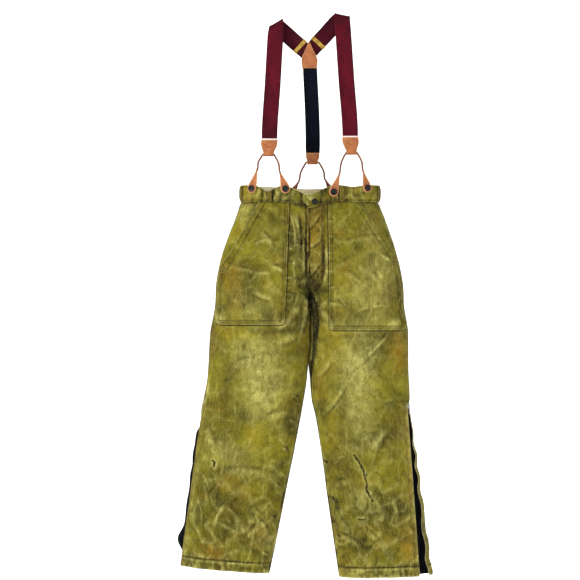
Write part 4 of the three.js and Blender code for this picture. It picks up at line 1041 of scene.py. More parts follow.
def leg_panel(leg, face):
    """One front or back panel from the waist seam to the hem, and its surface for the stitches."""
    top = WAIST_SEAM + 3
    step = FRONT_STEP if face < 0 else BACK_STEP
    rows = int((top - leg["hem"]) / step)
    columns = int(250 / step)
    heights = np.linspace(top, leg["hem"], rows + 1)
    edge = zip_edge(leg, face)
    turns = np.empty((rows + 1, columns + 1))
    for r, h in enumerate(heights):
        centre, half_width, half_depth = section(leg, np.array(h))
        share = (h - leg["hem"]) / (ZIP_TOP - leg["hem"])
        open_turn = leg["zip_hem"][face] * (1 - share) + leg["zip_top"][face] * share
        start = open_turn if h <= ZIP_TOP else 0.012
        end = min(math.pi - 0.012, float(angle_at(leg, np.array(h), 0.3)))

        def curve(t, cx=centre, wide=half_width, deep=half_depth):
            return cx + wide * power(np.cos(t), 2 / ROUNDNESS), deep * power(np.sin(t), 2 / ROUNDNESS)

        turns[r] = even_steps(curve, start, end, columns)
    h_grid = np.repeat(heights[:, None], columns + 1, 1)
    outer, raised, sunk = cloth(leg, face, h_grid, turns)
    outward = outer - np.stack([leg["side"] * section(leg, h_grid)[0], 0 * h_grid, h_grid], -1)
    open_rows = heights <= ZIP_TOP
    target = edge(heights)
    shift = np.where(open_rows[:, None], target - outer[:, 0], 0)
    fall = (1 - np.linspace(0, 1, columns + 1)) ** 3
    outer = outer + shift[:, None, :] * fall[None, :, None]
    touching = ease(heights, 508, 560) * (1 - ease(heights, 730, 748))
    near_middle = 1 - ease(np.arange(columns + 1)[::-1] * step, 0, 16)
    lap = 4.5 if leg["side"] > 0 else 1.0
    outer[..., 0] -= leg["side"] * lap * touching[:, None] * near_middle[None, :]
    if face > 0:
        loose = np.sin(np.pi * np.clip(np.arange(columns + 1) * step / 34, 0, 1)) ** 2
        flare = 5.0 * ease(ZIP_TOP - heights, 20, 160)[:, None] * loose[None, :]
        outer = outer + grid_normals(outer, outward) * flare[..., None]
    seam_lift = 0.7 if face < 0 else 0.0
    normals = grid_normals(outer, outward)
    edge_distance = np.minimum(np.arange(columns + 1), columns - np.arange(columns + 1)) * step
    ridge_out = seam_lift * (1 - ease(edge_distance, SEAM_LAP, SEAM_LAP + 3))
    outer = outer + normals * ridge_out[None, :, None]
    inner = outer - normals * CANVAS
    inner[..., 1] = np.where(np.sin(turns) < 0.02, inner[..., 1],
                             face * np.maximum(face * inner[..., 1], 0.2))
    past_seam = np.sin(turns) < 0
    outer[..., 1] = np.where(past_seam, outer[..., 1], face * np.maximum(face * outer[..., 1], 0.35))
    x = outer[..., 0]
    values = marks(x, h_grid, raised, sunk, face)
    inner_edge = (np.arange(columns + 1)[::-1] * step)[None, :]
    below_fork = 1 - ease(h_grid, 700, 730)
    seam_strip = 0.45 * (1 - ease(inner_edge, 8, 13)) + 0.9 * bell(inner_edge, 11, 1.8)
    values["grime_and_shade"] = values["grime_and_shade"] + seam_strip * below_fork
    seam_wear = 0.5 * bell(inner_edge, 14.5, 2) + 0.5 * bell(inner_edge, 1, 2)
    values["wear_and_highlight"] = values["wear_and_highlight"] + seam_wear * below_fork
    values["grime_and_shade"] = values["grime_and_shade"] + 0.9 * bell(h_grid, leg["hem"] + HEM_DEPTH, 1.8)
    rim_wear = 0.7 * (1 - ease(h_grid, leg["hem"] + 1, leg["hem"] + 5))
    values["wear_and_highlight"] = values["wear_and_highlight"] + rim_wear
    zip_side = (np.arange(columns + 1) * step)[None, :]
    if face < 0:
        near_zip = (1 - ease(zip_side, 8, 26)) * (1 - ease(h_grid, ZIP_TOP - 20, ZIP_TOP + 10))
        values["stain"] = values["stain"] + 0.35 * near_zip
        values["wear_and_highlight"] = values["wear_and_highlight"] + (0.3 + 0.9 * bell(zip_side, 1.5, 2.2)) * near_zip
        values["grime_and_shade"] = values["grime_and_shade"] + 0.9 * bell(zip_side, 11.5, 1.6) * near_zip
    else:
        near_zip = (1 - ease(zip_side, 6, 22)) * (1 - ease(h_grid, ZIP_TOP - 20, ZIP_TOP + 10))
        values["wear_and_highlight"] = values["wear_and_highlight"] + 0.3 * near_zip
    holes = None
    if face < 0:
        holes = np.zeros((rows, columns), bool)
        middle_x = (x[:-1, :-1] + x[1:, 1:]) / 2
        middle_h = (h_grid[:-1, :-1] + h_grid[1:, 1:]) / 2
        for hole_x, hole_h, wide, high in HOLES:
            inside = ((middle_x - hole_x) / wide) ** 2 + ((middle_h - hole_h) / high) ** 2 < 1
            holes |= inside
            near = bell(x, hole_x, wide * 3) * bell(h_grid, hole_h, high * 2.2)
            values["wear_and_highlight"] = values["wear_and_highlight"] + 0.9 * near
    arc = np.arange(columns + 1)[None, :] * step + 0 * h_grid
    place = {(-1, -1): 0.0, (-1, 1): 0.7, (1, -1): 1.4, (1, 1): 2.1}[(face, leg["side"])]
    uv = np.stack([arc * MM + place, h_grid * MM], -1)
    label = "front" if face < 0 else "back"
    name = f"trouser_{label}_{leg['name']}"
    piece = sheet_mesh(name, outer, inner, MATERIALS["canvas"], uv, values, holes=holes)
    nodes = [f"{label}_panel_{leg['name']}_upper", f"{label}_panel_{leg['name']}_lower"]
    if face < 0:
        nodes.append(f"thigh_bend_{leg['name']}")
    dress(piece, "canvas", *nodes)
    sew_to_leg(piece)
    steps = np.linalg.norm(np.diff(outer, axis=1), axis=-1).sum(1)
    return {"grid": outer, "normals": grid_normals(outer, outward), "heights": heights, "columns": columns,
            "x": x, "leg": leg, "face": face, "step": step}


def panel_path(panel, heights, columns):
    """A path on a panel through heights and column numbers."""
    top, foot = panel["heights"][0], panel["heights"][-1]
    rows = (top - heights) / (top - foot) * (len(panel["heights"]) - 1)
    return Surface(panel["grid"], panel["normals"]).at(rows, columns)


def panel_place(panel, x, h):
    """Points and normals of a panel at signed x and height."""
    top, foot = panel["heights"][0], panel["heights"][-1]
    rows = (top - h) / (top - foot) * (len(panel["heights"]) - 1)
    side = panel["leg"]["side"]
    order = np.arange(panel["columns"] + 1)
    nearest = np.round(rows).astype(int)
    columns = [np.interp(-side * x[k], -side * panel["x"][nearest[k]], order) for k in range(len(x))]
    return Surface(panel["grid"], panel["normals"]).at(rows, np.array(columns))


def darning(panel):
    """Loose, dark mending stitches across the tears of a front panel."""
    side = panel["leg"]["side"]
    chance = np.random.default_rng(7)
    threads = Threads()
    for tear in TEARS:
        if np.sign(tear[0][0]) != side:
            continue
        path = catmull(tear, 200)
        steps = np.linalg.norm(np.diff(path, axis=0), axis=1).sum()
        count = int(steps / 4)
        for k in range(count):
            middle = path[int((k + 0.5) / count * 199)]
            turn = chance.uniform(-0.9, 0.9) + (0.4 if k % 2 else -0.4)
            reach = chance.uniform(2.4, 6.0)
            ends = np.linspace(-reach, reach, 8)[:, None] * np.array([math.cos(turn), math.sin(turn)])
            spots = middle + ends
            points, normals = panel_place(panel, spots[:, 0], spots[:, 1])
            threads.run(points, normals, length=2 * reach * 0.96, gap=0.0, radius=0.5, proud=0.35)
    piece = threads.piece(f"darning_{panel['leg']['name']}", MATERIALS["dark_thread"])
    dress(piece, "canvas_trim")
    sew_to_leg(piece)


def panel_stitches(panel):
    """Felled inseam, side seam, hem and zip stitching of one panel."""
    leg, face = panel["leg"], panel["face"]
    threads = Threads()
    last = panel["columns"]
    hem, step, cell = leg["hem"], 2.0, panel["step"]
    inseam = np.arange(720, hem + 3, -step)
    side_top = np.arange(WAIST_SEAM - 8, ZIP_TOP + 6, -step)
    zip_run = np.arange(ZIP_TOP - 2, hem + 3, -step)
    if face < 0:
        for inset in (2.4, 8.4):
            threads.run(*panel_path(panel, inseam, np.full(len(inseam), last - inset / cell)))
            threads.run(*panel_path(panel, side_top, np.full(len(side_top), inset / cell)))
        centre_seam = np.arange(FLY_BOTTOM - 4, 736, -1.0)
        threads.run(*panel_path(panel, centre_seam, np.full(len(centre_seam), last - 0.8)))
    else:
        seat = np.arange(WAIST_SEAM - 8, 738, -step)
        for inset in (2.4, 8.4):
            threads.run(*panel_path(panel, seat, np.full(len(seat), last - inset / cell)))
    for inset in (3.0, 9.0):
        threads.run(*panel_path(panel, zip_run, np.full(len(zip_run), inset / cell)))
    across = np.arange(0.6, last - 0.6, 0.5)
    wander = 1.2 * np.sin(across * cell / 18)
    threads.run(*panel_path(panel, hem + HEM_DEPTH + wander, across))
    label = "front" if face < 0 else "back"
    piece = threads.piece(f"stitching_{label}_{leg['name']}", MATERIALS["olive_thread"])
    dress(piece, "canvas_trim")
    sew_to_leg(piece)


# ---- patches: pockets and fly ----

MARGIN = 2.4
EDGE_PLACES = np.array([0, 1.2, 2.1, 2.7, 3.4, 4.6, 6.2, 8.2, 10.4, 12.6])


class Patch:
    """A patch on one leg: its grid, and the way from x and h to its surface.

    Its columns and rows crowd at its edges, and a narrow margin lies flat on the cloth round it.
    """

    def __init__(self, leg, face, heights, outer_x, inner_x, columns, lift):
        self.leg, self.face, self.heights = leg, face, heights
        self.outer_x, self.inner_x, self.columns = outer_x, inner_x, columns
        width = (outer_x(heights) - inner_x(heights))[:, None]
        crowd = np.minimum(EDGE_PLACES[None, :], width * 0.45)
        middle = np.linspace(0, 1, columns - 2 * len(EDGE_PLACES) + 3)[None, 1:-1]
        last = crowd[:, -1:]
        inside = last + (width - 2 * last) * middle
        place = np.concatenate([crowd, inside, width - crowd[:, ::-1]], 1)
        self.place = place / width
        self.h = np.repeat(heights[:, None], columns + 1, 1)
        self.x = outer_x(heights)[:, None] - place
        stand = lift(self.x, self.h)
        turn = angle_at(leg, self.h, self.x)
        self.outer, raised, sunk = cloth(leg, face, self.h, turn, stand)
        self.under, _, _ = cloth(leg, face, self.h, turn, np.maximum(stand - CANVAS, 0.25))
        self.values = marks(leg["side"] * self.x, self.h, raised, sunk, face)
        outward = np.zeros_like(self.outer)
        outward[..., 1] = face
        self.normals = grid_normals(self.outer, outward)

    def path(self, x, h):
        rows = np.interp(-h, -self.heights, np.arange(len(self.heights)))
        outer, inner = self.outer_x(h), self.inner_x(h)
        share = np.clip((x - outer) / (inner - outer), 0, 1)
        nearest = np.round(rows).astype(int)
        order = np.arange(self.columns + 1)
        columns = np.array([np.interp(share[k], self.place[nearest[k]], order) for k in range(len(share))])
        return Surface(self.outer, self.normals).at(rows, columns)

    def piece(self, name, material, place, rim=0.5):
        uv = np.stack([self.x * MM + place, self.h * MM], -1)
        return sheet_mesh(name, self.outer, self.under, material, uv, self.values, rim=rim)


def pocket_shape(leg):
    """The front pocket's edges as functions of height."""
    shape = POCKETS[leg["name"]]
    top, bottom, radius = WAIST_SEAM - 3, shape["bottom"], 16
    foot_h, foot_x = shape["slant_foot"]

    def corner(h, margin):
        reach = radius + margin
        down = np.clip((bottom + radius - h) / reach, 0, 1)
        return reach * (1 - np.sqrt(1 - down**2))

    def outer_x(h, margin=0.0):
        slant = shape["slant_top"] + (foot_x - shape["slant_top"]) * (top - h) / (top - foot_h)
        seam = along(leg["outer"], h) - 6
        return np.where(h > foot_h, np.minimum(slant, seam), seam) + margin - corner(h, margin)

    def inner_x(h, margin=0.0):
        share = (top - h) / (top - bottom)
        straight = shape["inner_top"] + (shape["inner_foot"] - shape["inner_top"]) * share
        return straight - margin + 0.6 * corner(h, margin)

    return top, bottom, foot_h, outer_x, inner_x


def front_pocket(leg):
    top, bottom, foot_h, outer_x, inner_x = pocket_shape(leg)
    shape = POCKETS[leg["name"]]
    step = 2.4
    body = np.arange(top, bottom + 14, -step)
    foot = bottom - MARGIN + EDGE_PLACES[::-1]
    heights = np.unique(np.round(np.concatenate([body, foot]), 3))[::-1]
    columns = 84
    slant_slope = (shape["slant_foot"][1] - shape["slant_top"]) / (top - foot_h)

    def lift(x, h):
        inner_gap = x - inner_x(h)
        outer_gap = outer_x(h) - x
        low_gap = h - bottom
        inside = np.minimum(np.minimum(inner_gap, outer_gap), low_gap)
        sewn_side = np.where(h < foot_h, outer_gap, 60.0)
        sewn = np.minimum(np.minimum(inner_gap, sewn_side), low_gap)
        sewn = np.minimum(sewn, np.maximum(top - h, 0) + 3)
        puff = 3.4 * (1 - np.exp(-np.maximum(sewn, 0) / 26))
        edge = 0.9 * (1 - ease(sewn, 8, 11)) - 0.9 * bell(sewn, 3, 1.8) - 0.9 * bell(sewn, 10, 2)
        gape_at = bell(h, foot_h + 26, 22) if leg["side"] < 0 else bell(h, foot_h + 12, 10)
        open_edge = np.where(h > foot_h, outer_gap / math.hypot(1, slant_slope), 60.0)
        gape = 5.0 * gape_at * (1 - ease(open_edge, 0, 22))
        mouth = (1.6 * (1 - ease(open_edge, 16, 19)) - 0.8 * bell(open_edge, 4, 1.6)
                 - 0.9 * bell(open_edge, 17, 2))
        curl = 3.0 * bell(outer_gap, 4, 7) * bell(low_gap, 8, 9) if leg["side"] > 0 else 0.0
        raised = 2.2 + puff + edge + mouth + gape + curl
        return 0.2 + raised * ease(inside, -0.9, 0.9)

    def outer_margin(h):
        return outer_x(h, MARGIN)

    def inner_margin(h):
        return inner_x(h, MARGIN)

    pocket = Patch(leg, -1, heights, outer_margin, inner_margin, columns, lift)
    x, h = pocket.x, pocket.h
    inside = np.minimum(np.minimum(x - inner_x(h), outer_x(h) - x), h - bottom)
    open_side = (h > foot_h) & (outer_x(h) - x < 30)
    sewn_row = np.where(open_side, 17.0, 8.6)
    pocket.values["wear_and_highlight"] = pocket.values["wear_and_highlight"] + 0.6 * bell(inside, 1.4, 1.4)
    groove = 0.8 * bell(inside, 4.4, 1.5) + 0.9 * bell(inside, sewn_row + 1.5, 1.6)
    # The flat margin round the pocket is painted near-black: a painted shadow where the patch stands off the
    # cloth, and painted shade in the gap at its mouth.
    rim = 2.4 * (1 - ease(inside, -0.4, 0.9))
    pocket.values["grime_and_shade"] = pocket.values["grime_and_shade"] * (inside > 0) + groove + rim
    for corner_x in (outer_x(np.array([bottom + 16.0]))[0] - 7, inner_x(np.array([bottom + 16.0]))[0] + 7):
        pocket.values["wear_and_highlight"] = pocket.values["wear_and_highlight"] + 0.9 * bell(x, corner_x, 5) * bell(h, bottom + 6, 5)
    piece = pocket.piece(f"pocket_front_{leg['name']}", MATERIALS["canvas"], 3.0 + 0.4 * leg["side"])
    dress(piece, "canvas", f"front_pocket_{leg['name']}")
    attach(piece, "waist")
    area = float(np.sum(-np.gradient(heights) * (outer_x(heights) - inner_x(heights)))) * MM * MM
    threads = Threads()
    pocket_edges(threads, pocket, top, bottom, foot_h)
    pocket_details(threads, pocket, leg, bottom, foot_h)
    seams = threads.piece(f"pocket_stitching_{leg['name']}", MATERIALS["olive_thread"])
    dress(seams, "canvas_trim")
    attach(seams, "waist")


def inset_outline(pocket, inset, bottom, start_h, end_h):
    """Down the outer side from start_h, round the corners and up the inner side to end_h."""
    radius = 16 - inset
    inset = inset + MARGIN
    down = np.arange(start_h, bottom + 16, -2.0)
    turn = np.linspace(0, math.pi / 2, 10)
    right_h = bottom + 16 - radius * np.sin(turn)
    outer_line = pocket.outer_x(np.array([bottom + 16.0]))[0] - inset
    inner_line = pocket.inner_x(np.array([bottom + 16.0]))[0] + inset
    right_x = outer_line - radius * (1 - np.cos(turn))
    left_x = inner_line + 0.6 * radius * (1 - np.cos(turn[::-1]))
    base_x = np.arange(right_x[-1] - 2, left_x[0] + 2, -2.0)
    up = np.arange(bottom + 16, end_h, 2.0)
    x = np.concatenate([pocket.outer_x(down) - inset, right_x, base_x, left_x, pocket.inner_x(up) + inset])
    h = np.concatenate([down, right_h, np.full(len(base_x), bottom + inset - MARGIN), right_h[::-1], up])
    return x, h


def pocket_edges(threads, pocket, top, bottom, foot_h):
    for inset in (2.6, 8.6):
        threads.run(*pocket.path(*inset_outline(pocket, inset, bottom, foot_h - 2, top - 4)))
    mouth = np.arange(top - 4, foot_h + 2, -2.0)
    for inset in (4.0, 20.0):
        threads.run(*pocket.path(pocket.outer_x(mouth) - inset - MARGIN, mouth))


def pocket_details(threads, pocket, leg, bottom, foot_h):
    """Reinforcement at the foot and bar tacks."""
    inner = float(pocket.inner_x(np.array([bottom + 30.0]))[0])
    outer = float(pocket.outer_x(np.array([bottom + 30.0]))[0])
    if leg["side"] < 0:
        middle = (inner + outer) / 2 - 4
        for side, end in ((1, outer - 12), (-1, inner + 12)):
            turn = np.linspace(0, math.pi / 2, 12)
            flat_x = np.linspace(end, middle + side * 18, 20)
            arc_x = middle + side * (18 - 17 * np.sin(turn))
            x = np.concatenate([flat_x, arc_x])
            h = np.concatenate([np.full(20, bottom + 22.0), bottom + 6 + 16 * np.cos(turn)])
            threads.run(*pocket.path(x, h))
    else:
        box_x = np.array([inner + 4, inner + 22, inner + 22, inner + 4])
        box_h = np.array([bottom + 28, bottom + 28, bottom + 4, bottom + 4])
        for k in range(4):
            n = (k + 1) % 4
            x = np.linspace(box_x[k], box_x[n], 14)
            h = np.linspace(box_h[k], box_h[n], 14)
            threads.run(*pocket.path(x, h))
        for row in range(4):
            x = np.linspace(inner + 6, inner + 20, 10)
            h = np.full(10, bottom + 9 + 5.0 * row)
            threads.run(*pocket.path(x, h))
    for h_tack in (foot_h - 6, foot_h + 4):
        x_tack = float(pocket.outer_x(np.array([h_tack]))[0]) - 12
        bar_tack(threads, pocket, x_tack, h_tack, 16)


def bar_tack(threads, pocket, x_middle, h_middle, length):
    """A close zigzag of thread over a short bar."""
    for row in range(-2, 3):
        x = np.linspace(x_middle - length / 2, x_middle + length / 2, 12)
        h = np.full(12, h_middle + 0.9 * row)
        threads.run(*pocket.path(x, h), length=2.2, gap=0.2, radius=0.5)


def back_pocket(leg):
    middle, half, top, bottom = 118.0, 72.0, 905.0, 738.0

    def reach(h):
        point = np.clip((752 - h) / (752 - bottom), 0, 1)
        return half - 6 * (top - h) / (top - 752) - 22 * point

    def outer_x(h):
        return middle + reach(h) + MARGIN

    def inner_x(h):
        return middle - reach(h) - MARGIN

    def inside_of(x, h):
        return np.minimum(np.minimum(reach(h) - np.abs(x - middle), h - bottom), top - h)

    def lift(x, h):
        sides = reach(h) - np.abs(x - middle)
        sewn = np.minimum(sides, h - bottom)
        puff = 2.2 * (1 - np.exp(-np.maximum(sewn, 0) / 24))
        edge = 0.8 * (1 - ease(sewn, 8, 11)) - 0.8 * bell(sewn, 3, 1.8)
        mouth = 1.2 * (1 - ease(top - h, 22, 25)) + 2.0 * (1 - ease(top - h, 0, 20)) * bell(x, middle, 40)
        return 0.2 + (2.2 + puff + edge + mouth) * ease(inside_of(x, h), -0.9, 0.9)

    crowd = EDGE_PLACES[:8]
    heights = np.concatenate([top + MARGIN - crowd, np.arange(top - 8, 756, -2.6),
                              bottom - MARGIN + crowd[::-1] * 2])
    heights = np.unique(np.round(heights, 3))[::-1]
    pocket = Patch(leg, 1, heights, outer_x, inner_x, 66, lift)
    inside = inside_of(pocket.x, pocket.h)
    pocket.values["wear_and_highlight"] = pocket.values["wear_and_highlight"] + 1.0 * bell(inside, 1.4, 1.5)
    groove = 0.7 * bell(inside, 4.4, 1.5) + 0.7 * bell(inside, 10.2, 1.6)
    # The flat margin round the pocket is painted near-black, a painted shadow where the patch stands off the
    # cloth.
    pocket.values["grime_and_shade"] = pocket.values["grime_and_shade"] + groove + 2.0 * (1 - ease(inside, -0.6, 0.5))
    piece = pocket.piece(f"pocket_back_{leg['name']}", MATERIALS["canvas"], 4.0 + 0.3 * leg["side"])
    dress(piece, "canvas", f"back_pocket_{leg['name']}")
    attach(piece, "waist")
    threads = Threads()
    for inset in (2.6, 8.6):
        down = np.arange(top - 3, 754, -2.0)
        slope_h = np.linspace(752, bottom + inset, 12)
        base_x = np.linspace(middle + reach(np.array([bottom]))[0] - 2, middle, 14)
        x = np.concatenate([middle + reach(down) - inset, middle + reach(slope_h) - inset, base_x])
        h = np.concatenate([down, slope_h, np.full(14, bottom + inset)])
        threads.run(*pocket.path(x, h))
        threads.run(*pocket.path(2 * middle - x, h))
    across = np.linspace(middle - half + 4, middle + half - 4, 60)
    for inset in (4.0, 23.0):
        threads.run(*pocket.path(across, np.full(60, top - inset)))
    seams = threads.piece(f"back_pocket_stitching_{leg['name']}", MATERIALS["olive_thread"])
    dress(seams, "canvas_trim")
    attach(seams, "waist")


def fly_flap():
    """The left front laps over the right, with a curved row of stitching at its foot."""
    width, curve_from, top = 41.0, 795.0, WAIST_SEAM - 1
    body = np.arange(top, curve_from, -1.8)
    turn = np.linspace(0, math.pi / 2 * 0.985, 22)
    heights = np.concatenate([body, curve_from - (curve_from - FLY_BOTTOM) * np.sin(turn)])

    def far_x(h):
        down = np.clip((curve_from - h) / (curve_from - FLY_BOTTOM), 0, 1)
        return FLY_EDGE + 4 + width * np.sqrt(np.maximum(0, 1 - down**2))

    columns = 26
    share = np.linspace(0, 1, columns + 1)[None, :]
    h = np.repeat(heights[:, None], columns + 1, 1)
    x = FLY_EDGE * (1 - share) + far_x(heights)[:, None] * share
    edge = x - FLY_EDGE
    far = far_x(heights)[:, None] - x
    lift = 1.0 + 1.9 * ease(far, 0, 10) + 1.6 * (1 - ease(edge, 5, 16)) - 0.8 * bell(edge, 6, 1.6)
    lift = lift + 1.5 * bell(h, 880, 60) * (1 - ease(edge, 0, 20))
    points, under = np.empty(x.shape + (3,)), np.empty(x.shape + (3,))
    raised, sunk = np.empty_like(x), np.empty_like(x)
    for leg in LEGS:
        here = (x < 0) if leg["side"] < 0 else (x >= 0)
        angle = angle_at(leg, h, np.abs(x))
        found, up, down = cloth(leg, -1, h, angle, lift)
        beneath, _, _ = cloth(leg, -1, h, angle, lift - 1.5)
        points[here], under[here] = found[here], beneath[here]
        raised[here], sunk[here] = up[here], down[here]
    depth, _, _ = crease_field(x, h)
    bent = 1 - ease(np.abs(x), 3, 16)
    points[..., 1] -= depth * bent
    under[..., 1] -= depth * bent
    values = marks(x, h, raised, sunk, -1)
    values["wear_and_highlight"] = values["wear_and_highlight"] + 0.9 * np.maximum(1 - edge / 2.5, 0) + 0.25 * bell(far, 8, 3)
    values["grime_and_shade"] = values["grime_and_shade"] + 0.8 * bell(edge, 7, 2) + 0.7 * bell(far, 6, 1.5) + 0.3
    values["stain"] = values["stain"] + 0.4
    uv = np.stack([x * MM + 5, h * MM], -1)
    piece = sheet_mesh("fly_front", points, under, MATERIALS["canvas"], uv, values)
    dress(piece, "canvas", "fly_flap")
    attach(piece, "waist")
    outward = np.zeros_like(points)
    outward[..., 1] = -1
    surface = Surface(points, grid_normals(points, outward))
    threads = Threads()
    rows = np.arange(2, len(heights) - 1.5, 0.6)
    far_mm = far_x(np.interp(rows, np.arange(len(heights)), heights)) - FLY_EDGE
    for inset in (6.0, 11.0):
        columns_at = np.clip(1 - inset / far_mm, 0.05, 1) * columns
        threads.run(*surface.at(rows, columns_at))
    edge_rows = np.arange(2, len(heights) - 6, 0.6)
    edge_mm = far_x(np.interp(edge_rows, np.arange(len(heights)), heights)) - FLY_EDGE
    threads.run(*surface.at(edge_rows, 3.0 / edge_mm * columns))
    seams = threads.piece("fly_stitching", MATERIALS["olive_thread"])
    dress(seams, "canvas_trim")
    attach(seams, "waist")


# ---- waistband ----


def waist_curve(turn, grow=0.0):
    x = (WAIST_HALF_WIDTH + grow) * power(np.cos(turn), 2 / ROUNDNESS)
    return x, (WAIST_HALF_DEPTH + grow) * power(np.sin(turn), 2 / ROUNDNESS)


def waist_turn(x):
    return -np.arccos(power(np.asarray(x, float) / WAIST_HALF_WIDTH, ROUNDNESS / 2))


def waist_normal(turn):
    x, y = waist_curve(turn)
    ahead_x, ahead_y = waist_curve(turn + 0.004)
    normal = unit(np.stack([ahead_y - y, x - ahead_x], -1))
    return np.concatenate([normal, np.zeros(normal.shape[:-1] + (1,))], -1)


def band_levels(x, y):
    face = np.where(y < 0, -1, 1)
    low = WAIST_SEAM - np.where(face < 0, seam_sag(x), 0)
    high = WAIST_TOP - top_sag(x, face) * np.minimum(1, np.abs(y) / 12)
    return low, high


def band_grid(turns, shares, out, foot=0.0, top_drop=0.0):
    x, y = waist_curve(turns)
    low, high = band_levels(x, y)
    normal = waist_normal(turns)
    h = (high - top_drop)[None, :] * (1 - shares[:, None]) + (low - foot)[None, :] * shares[:, None]
    flat = np.stack([np.broadcast_to(x, h.shape), np.broadcast_to(y, h.shape), h], -1)
    return flat + normal[None] * out[..., None], x, y, h


def waistband():
    lap_x = 26.0
    start = float(waist_turn(FLY_EDGE + 3))
    end = float(waist_turn(FLY_EDGE + lap_x)) + 2 * math.pi
    turns = even_steps(lambda t: waist_curve(t), start, end, 460)
    shares = np.linspace(0, 1, 17)
    x, y = waist_curve(turns)
    length = np.concatenate([[0], np.cumsum(np.hypot(np.diff(x), np.diff(y)))])
    s = np.repeat(length[None], len(shares), 0)
    drop = shares[:, None] * 42 + 0 * s
    face = np.where(y < 0, -1, 1)[None]
    lap = 2.9 * (1 - ease(length, 22, 46))[None]
    slack = (face < 0) * (bell(x, -4, 60) + 0.9 * bell(x, -108, 34) + 0.5 * bell(x, 110, 30))[None]
    rumple = 2.0 * noise(s / 34, drop / 30, 401) + (0.8 + 2.4 * slack) * ridge(s / 30, drop / 60 + 3, 402, 6)
    rumple = rumple - (0.8 + 2.6 * slack) * ridge(s / 26 + 0.2, drop / 70 + s / 200, 403, 6)
    near_edge = np.minimum(shares, 1 - shares)[:, None] * 42
    stitched = -0.7 * bell(near_edge, 4, 2)
    out = BAND_OUT + lap + 0.75 * rumple * ease(near_edge, 0, 10) + stitched
    outer, _, _, h = band_grid(turns, shares, out, foot=2.5)
    inner, _, _, _ = band_grid(turns, shares, out - BAND_THICKNESS, foot=2.5)
    raised = ridge(s / 30, drop / 60 + 3, 402, 6) * (0.4 + slack)
    sunk = ridge(s / 26 + 0.2, drop / 70 + s / 200, 403, 6) * (0.4 + slack)
    values = marks(outer[..., 0], h, raised, sunk, -1)
    back = face > 0
    for key in values:
        values[key] = np.where(back, 0.3 * values[key], values[key])
    # On the front the raised rumples are painted pale, wear and painted highlight, and the sunk ones dark, painted
    # shade.
    values["wear_and_highlight"] = values["wear_and_highlight"] + 0.9 * np.maximum(1 - near_edge / 2.6, 0) + 0.4 * raised * (face < 0)
    values["grime_and_shade"] = values["grime_and_shade"] + 0.8 * bell(near_edge, 4.5, 1.6) + 0.6 * sunk * (face < 0)
    # Painted shadow lines either side of the two front belt loops.
    for loop_x in (-104, 81):
        beside = np.abs(np.abs(outer[..., 0] - loop_x) - 6.5)
        values["grime_and_shade"] = values["grime_and_shade"] + 1.6 * bell(beside, 0, 2.2) * (face < 0)
    uv = np.stack([s * MM + 6, h * MM], -1)
    piece = sheet_mesh("waistband_cloth", outer, inner, MATERIALS["canvas"], uv, values)
    dress(piece, "canvas", "waistband")
    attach(piece, "waist")
    lining_out = np.full_like(s, BAND_OUT - BAND_THICKNESS - 0.5)
    lining_values = {"wear_and_highlight": 0 * s}
    lining_outer, _, _, lining_h = band_grid(turns, shares, lining_out + 0.2 * noise(s / 20, drop / 20, 404),
                                             foot=-5, top_drop=1.5)
    lining_inner, _, _, _ = band_grid(turns, shares, lining_out - 1.0, foot=-5, top_drop=1.5)
    lining = sheet_mesh("waistband_inside", lining_outer, lining_inner, MATERIALS["lining"],
                        np.stack([s * MM, lining_h * MM], -1), lining_values)
    dress(lining, "lining", "waistband_lining")
    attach(lining, "waist")
    outward = np.broadcast_to(waist_normal(turns)[None], outer.shape)
    surface = Surface(outer, grid_normals(outer, outward))
    threads = Threads()
    columns = np.arange(1.5, 459, 0.5)
    for row in (1.4, 14.6):
        threads.run(*surface.at(np.full(len(columns), row), columns))
    rows = np.arange(1.5, 15, 0.4)
    threads.run(*surface.at(rows, np.full(len(rows), 1.4)))
    seams = threads.piece("waistband_stitching", MATERIALS["olive_thread"])
    dress(seams, "canvas_trim")
    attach(seams, "waist")


def ribbon_grids(centres, acrosses, widths, thickness, columns, crown=0.0, seed=0, wobble=0.0):
    """Outer and inner grids of a ribbon along a centre line."""
    run = unit(np.gradient(centres, axis=0))
    across = unit(acrosses)
    normal = unit(np.cross(run, across))
    share = np.linspace(-0.5, 0.5, columns + 1)
    length = np.concatenate([[0], np.cumsum(np.linalg.norm(np.diff(centres, axis=0), axis=1))])
    place = share[None, :] * np.asarray(widths)[:, None]
    lift = crown * np.cos(share * math.pi)[None, :] + wobble * noise(place / 16, length[:, None] / 30, seed)
    middle = (centres[:, None, :] + across[:, None, :] * place[..., None]
              + normal[:, None, :] * lift[..., None])
    half = normal[:, None, :] * thickness / 2
    uv = np.stack([place * MM, np.repeat(length[:, None], columns + 1, 1) * MM], -1)
    return middle + half, middle - half, uv, normal, length, place


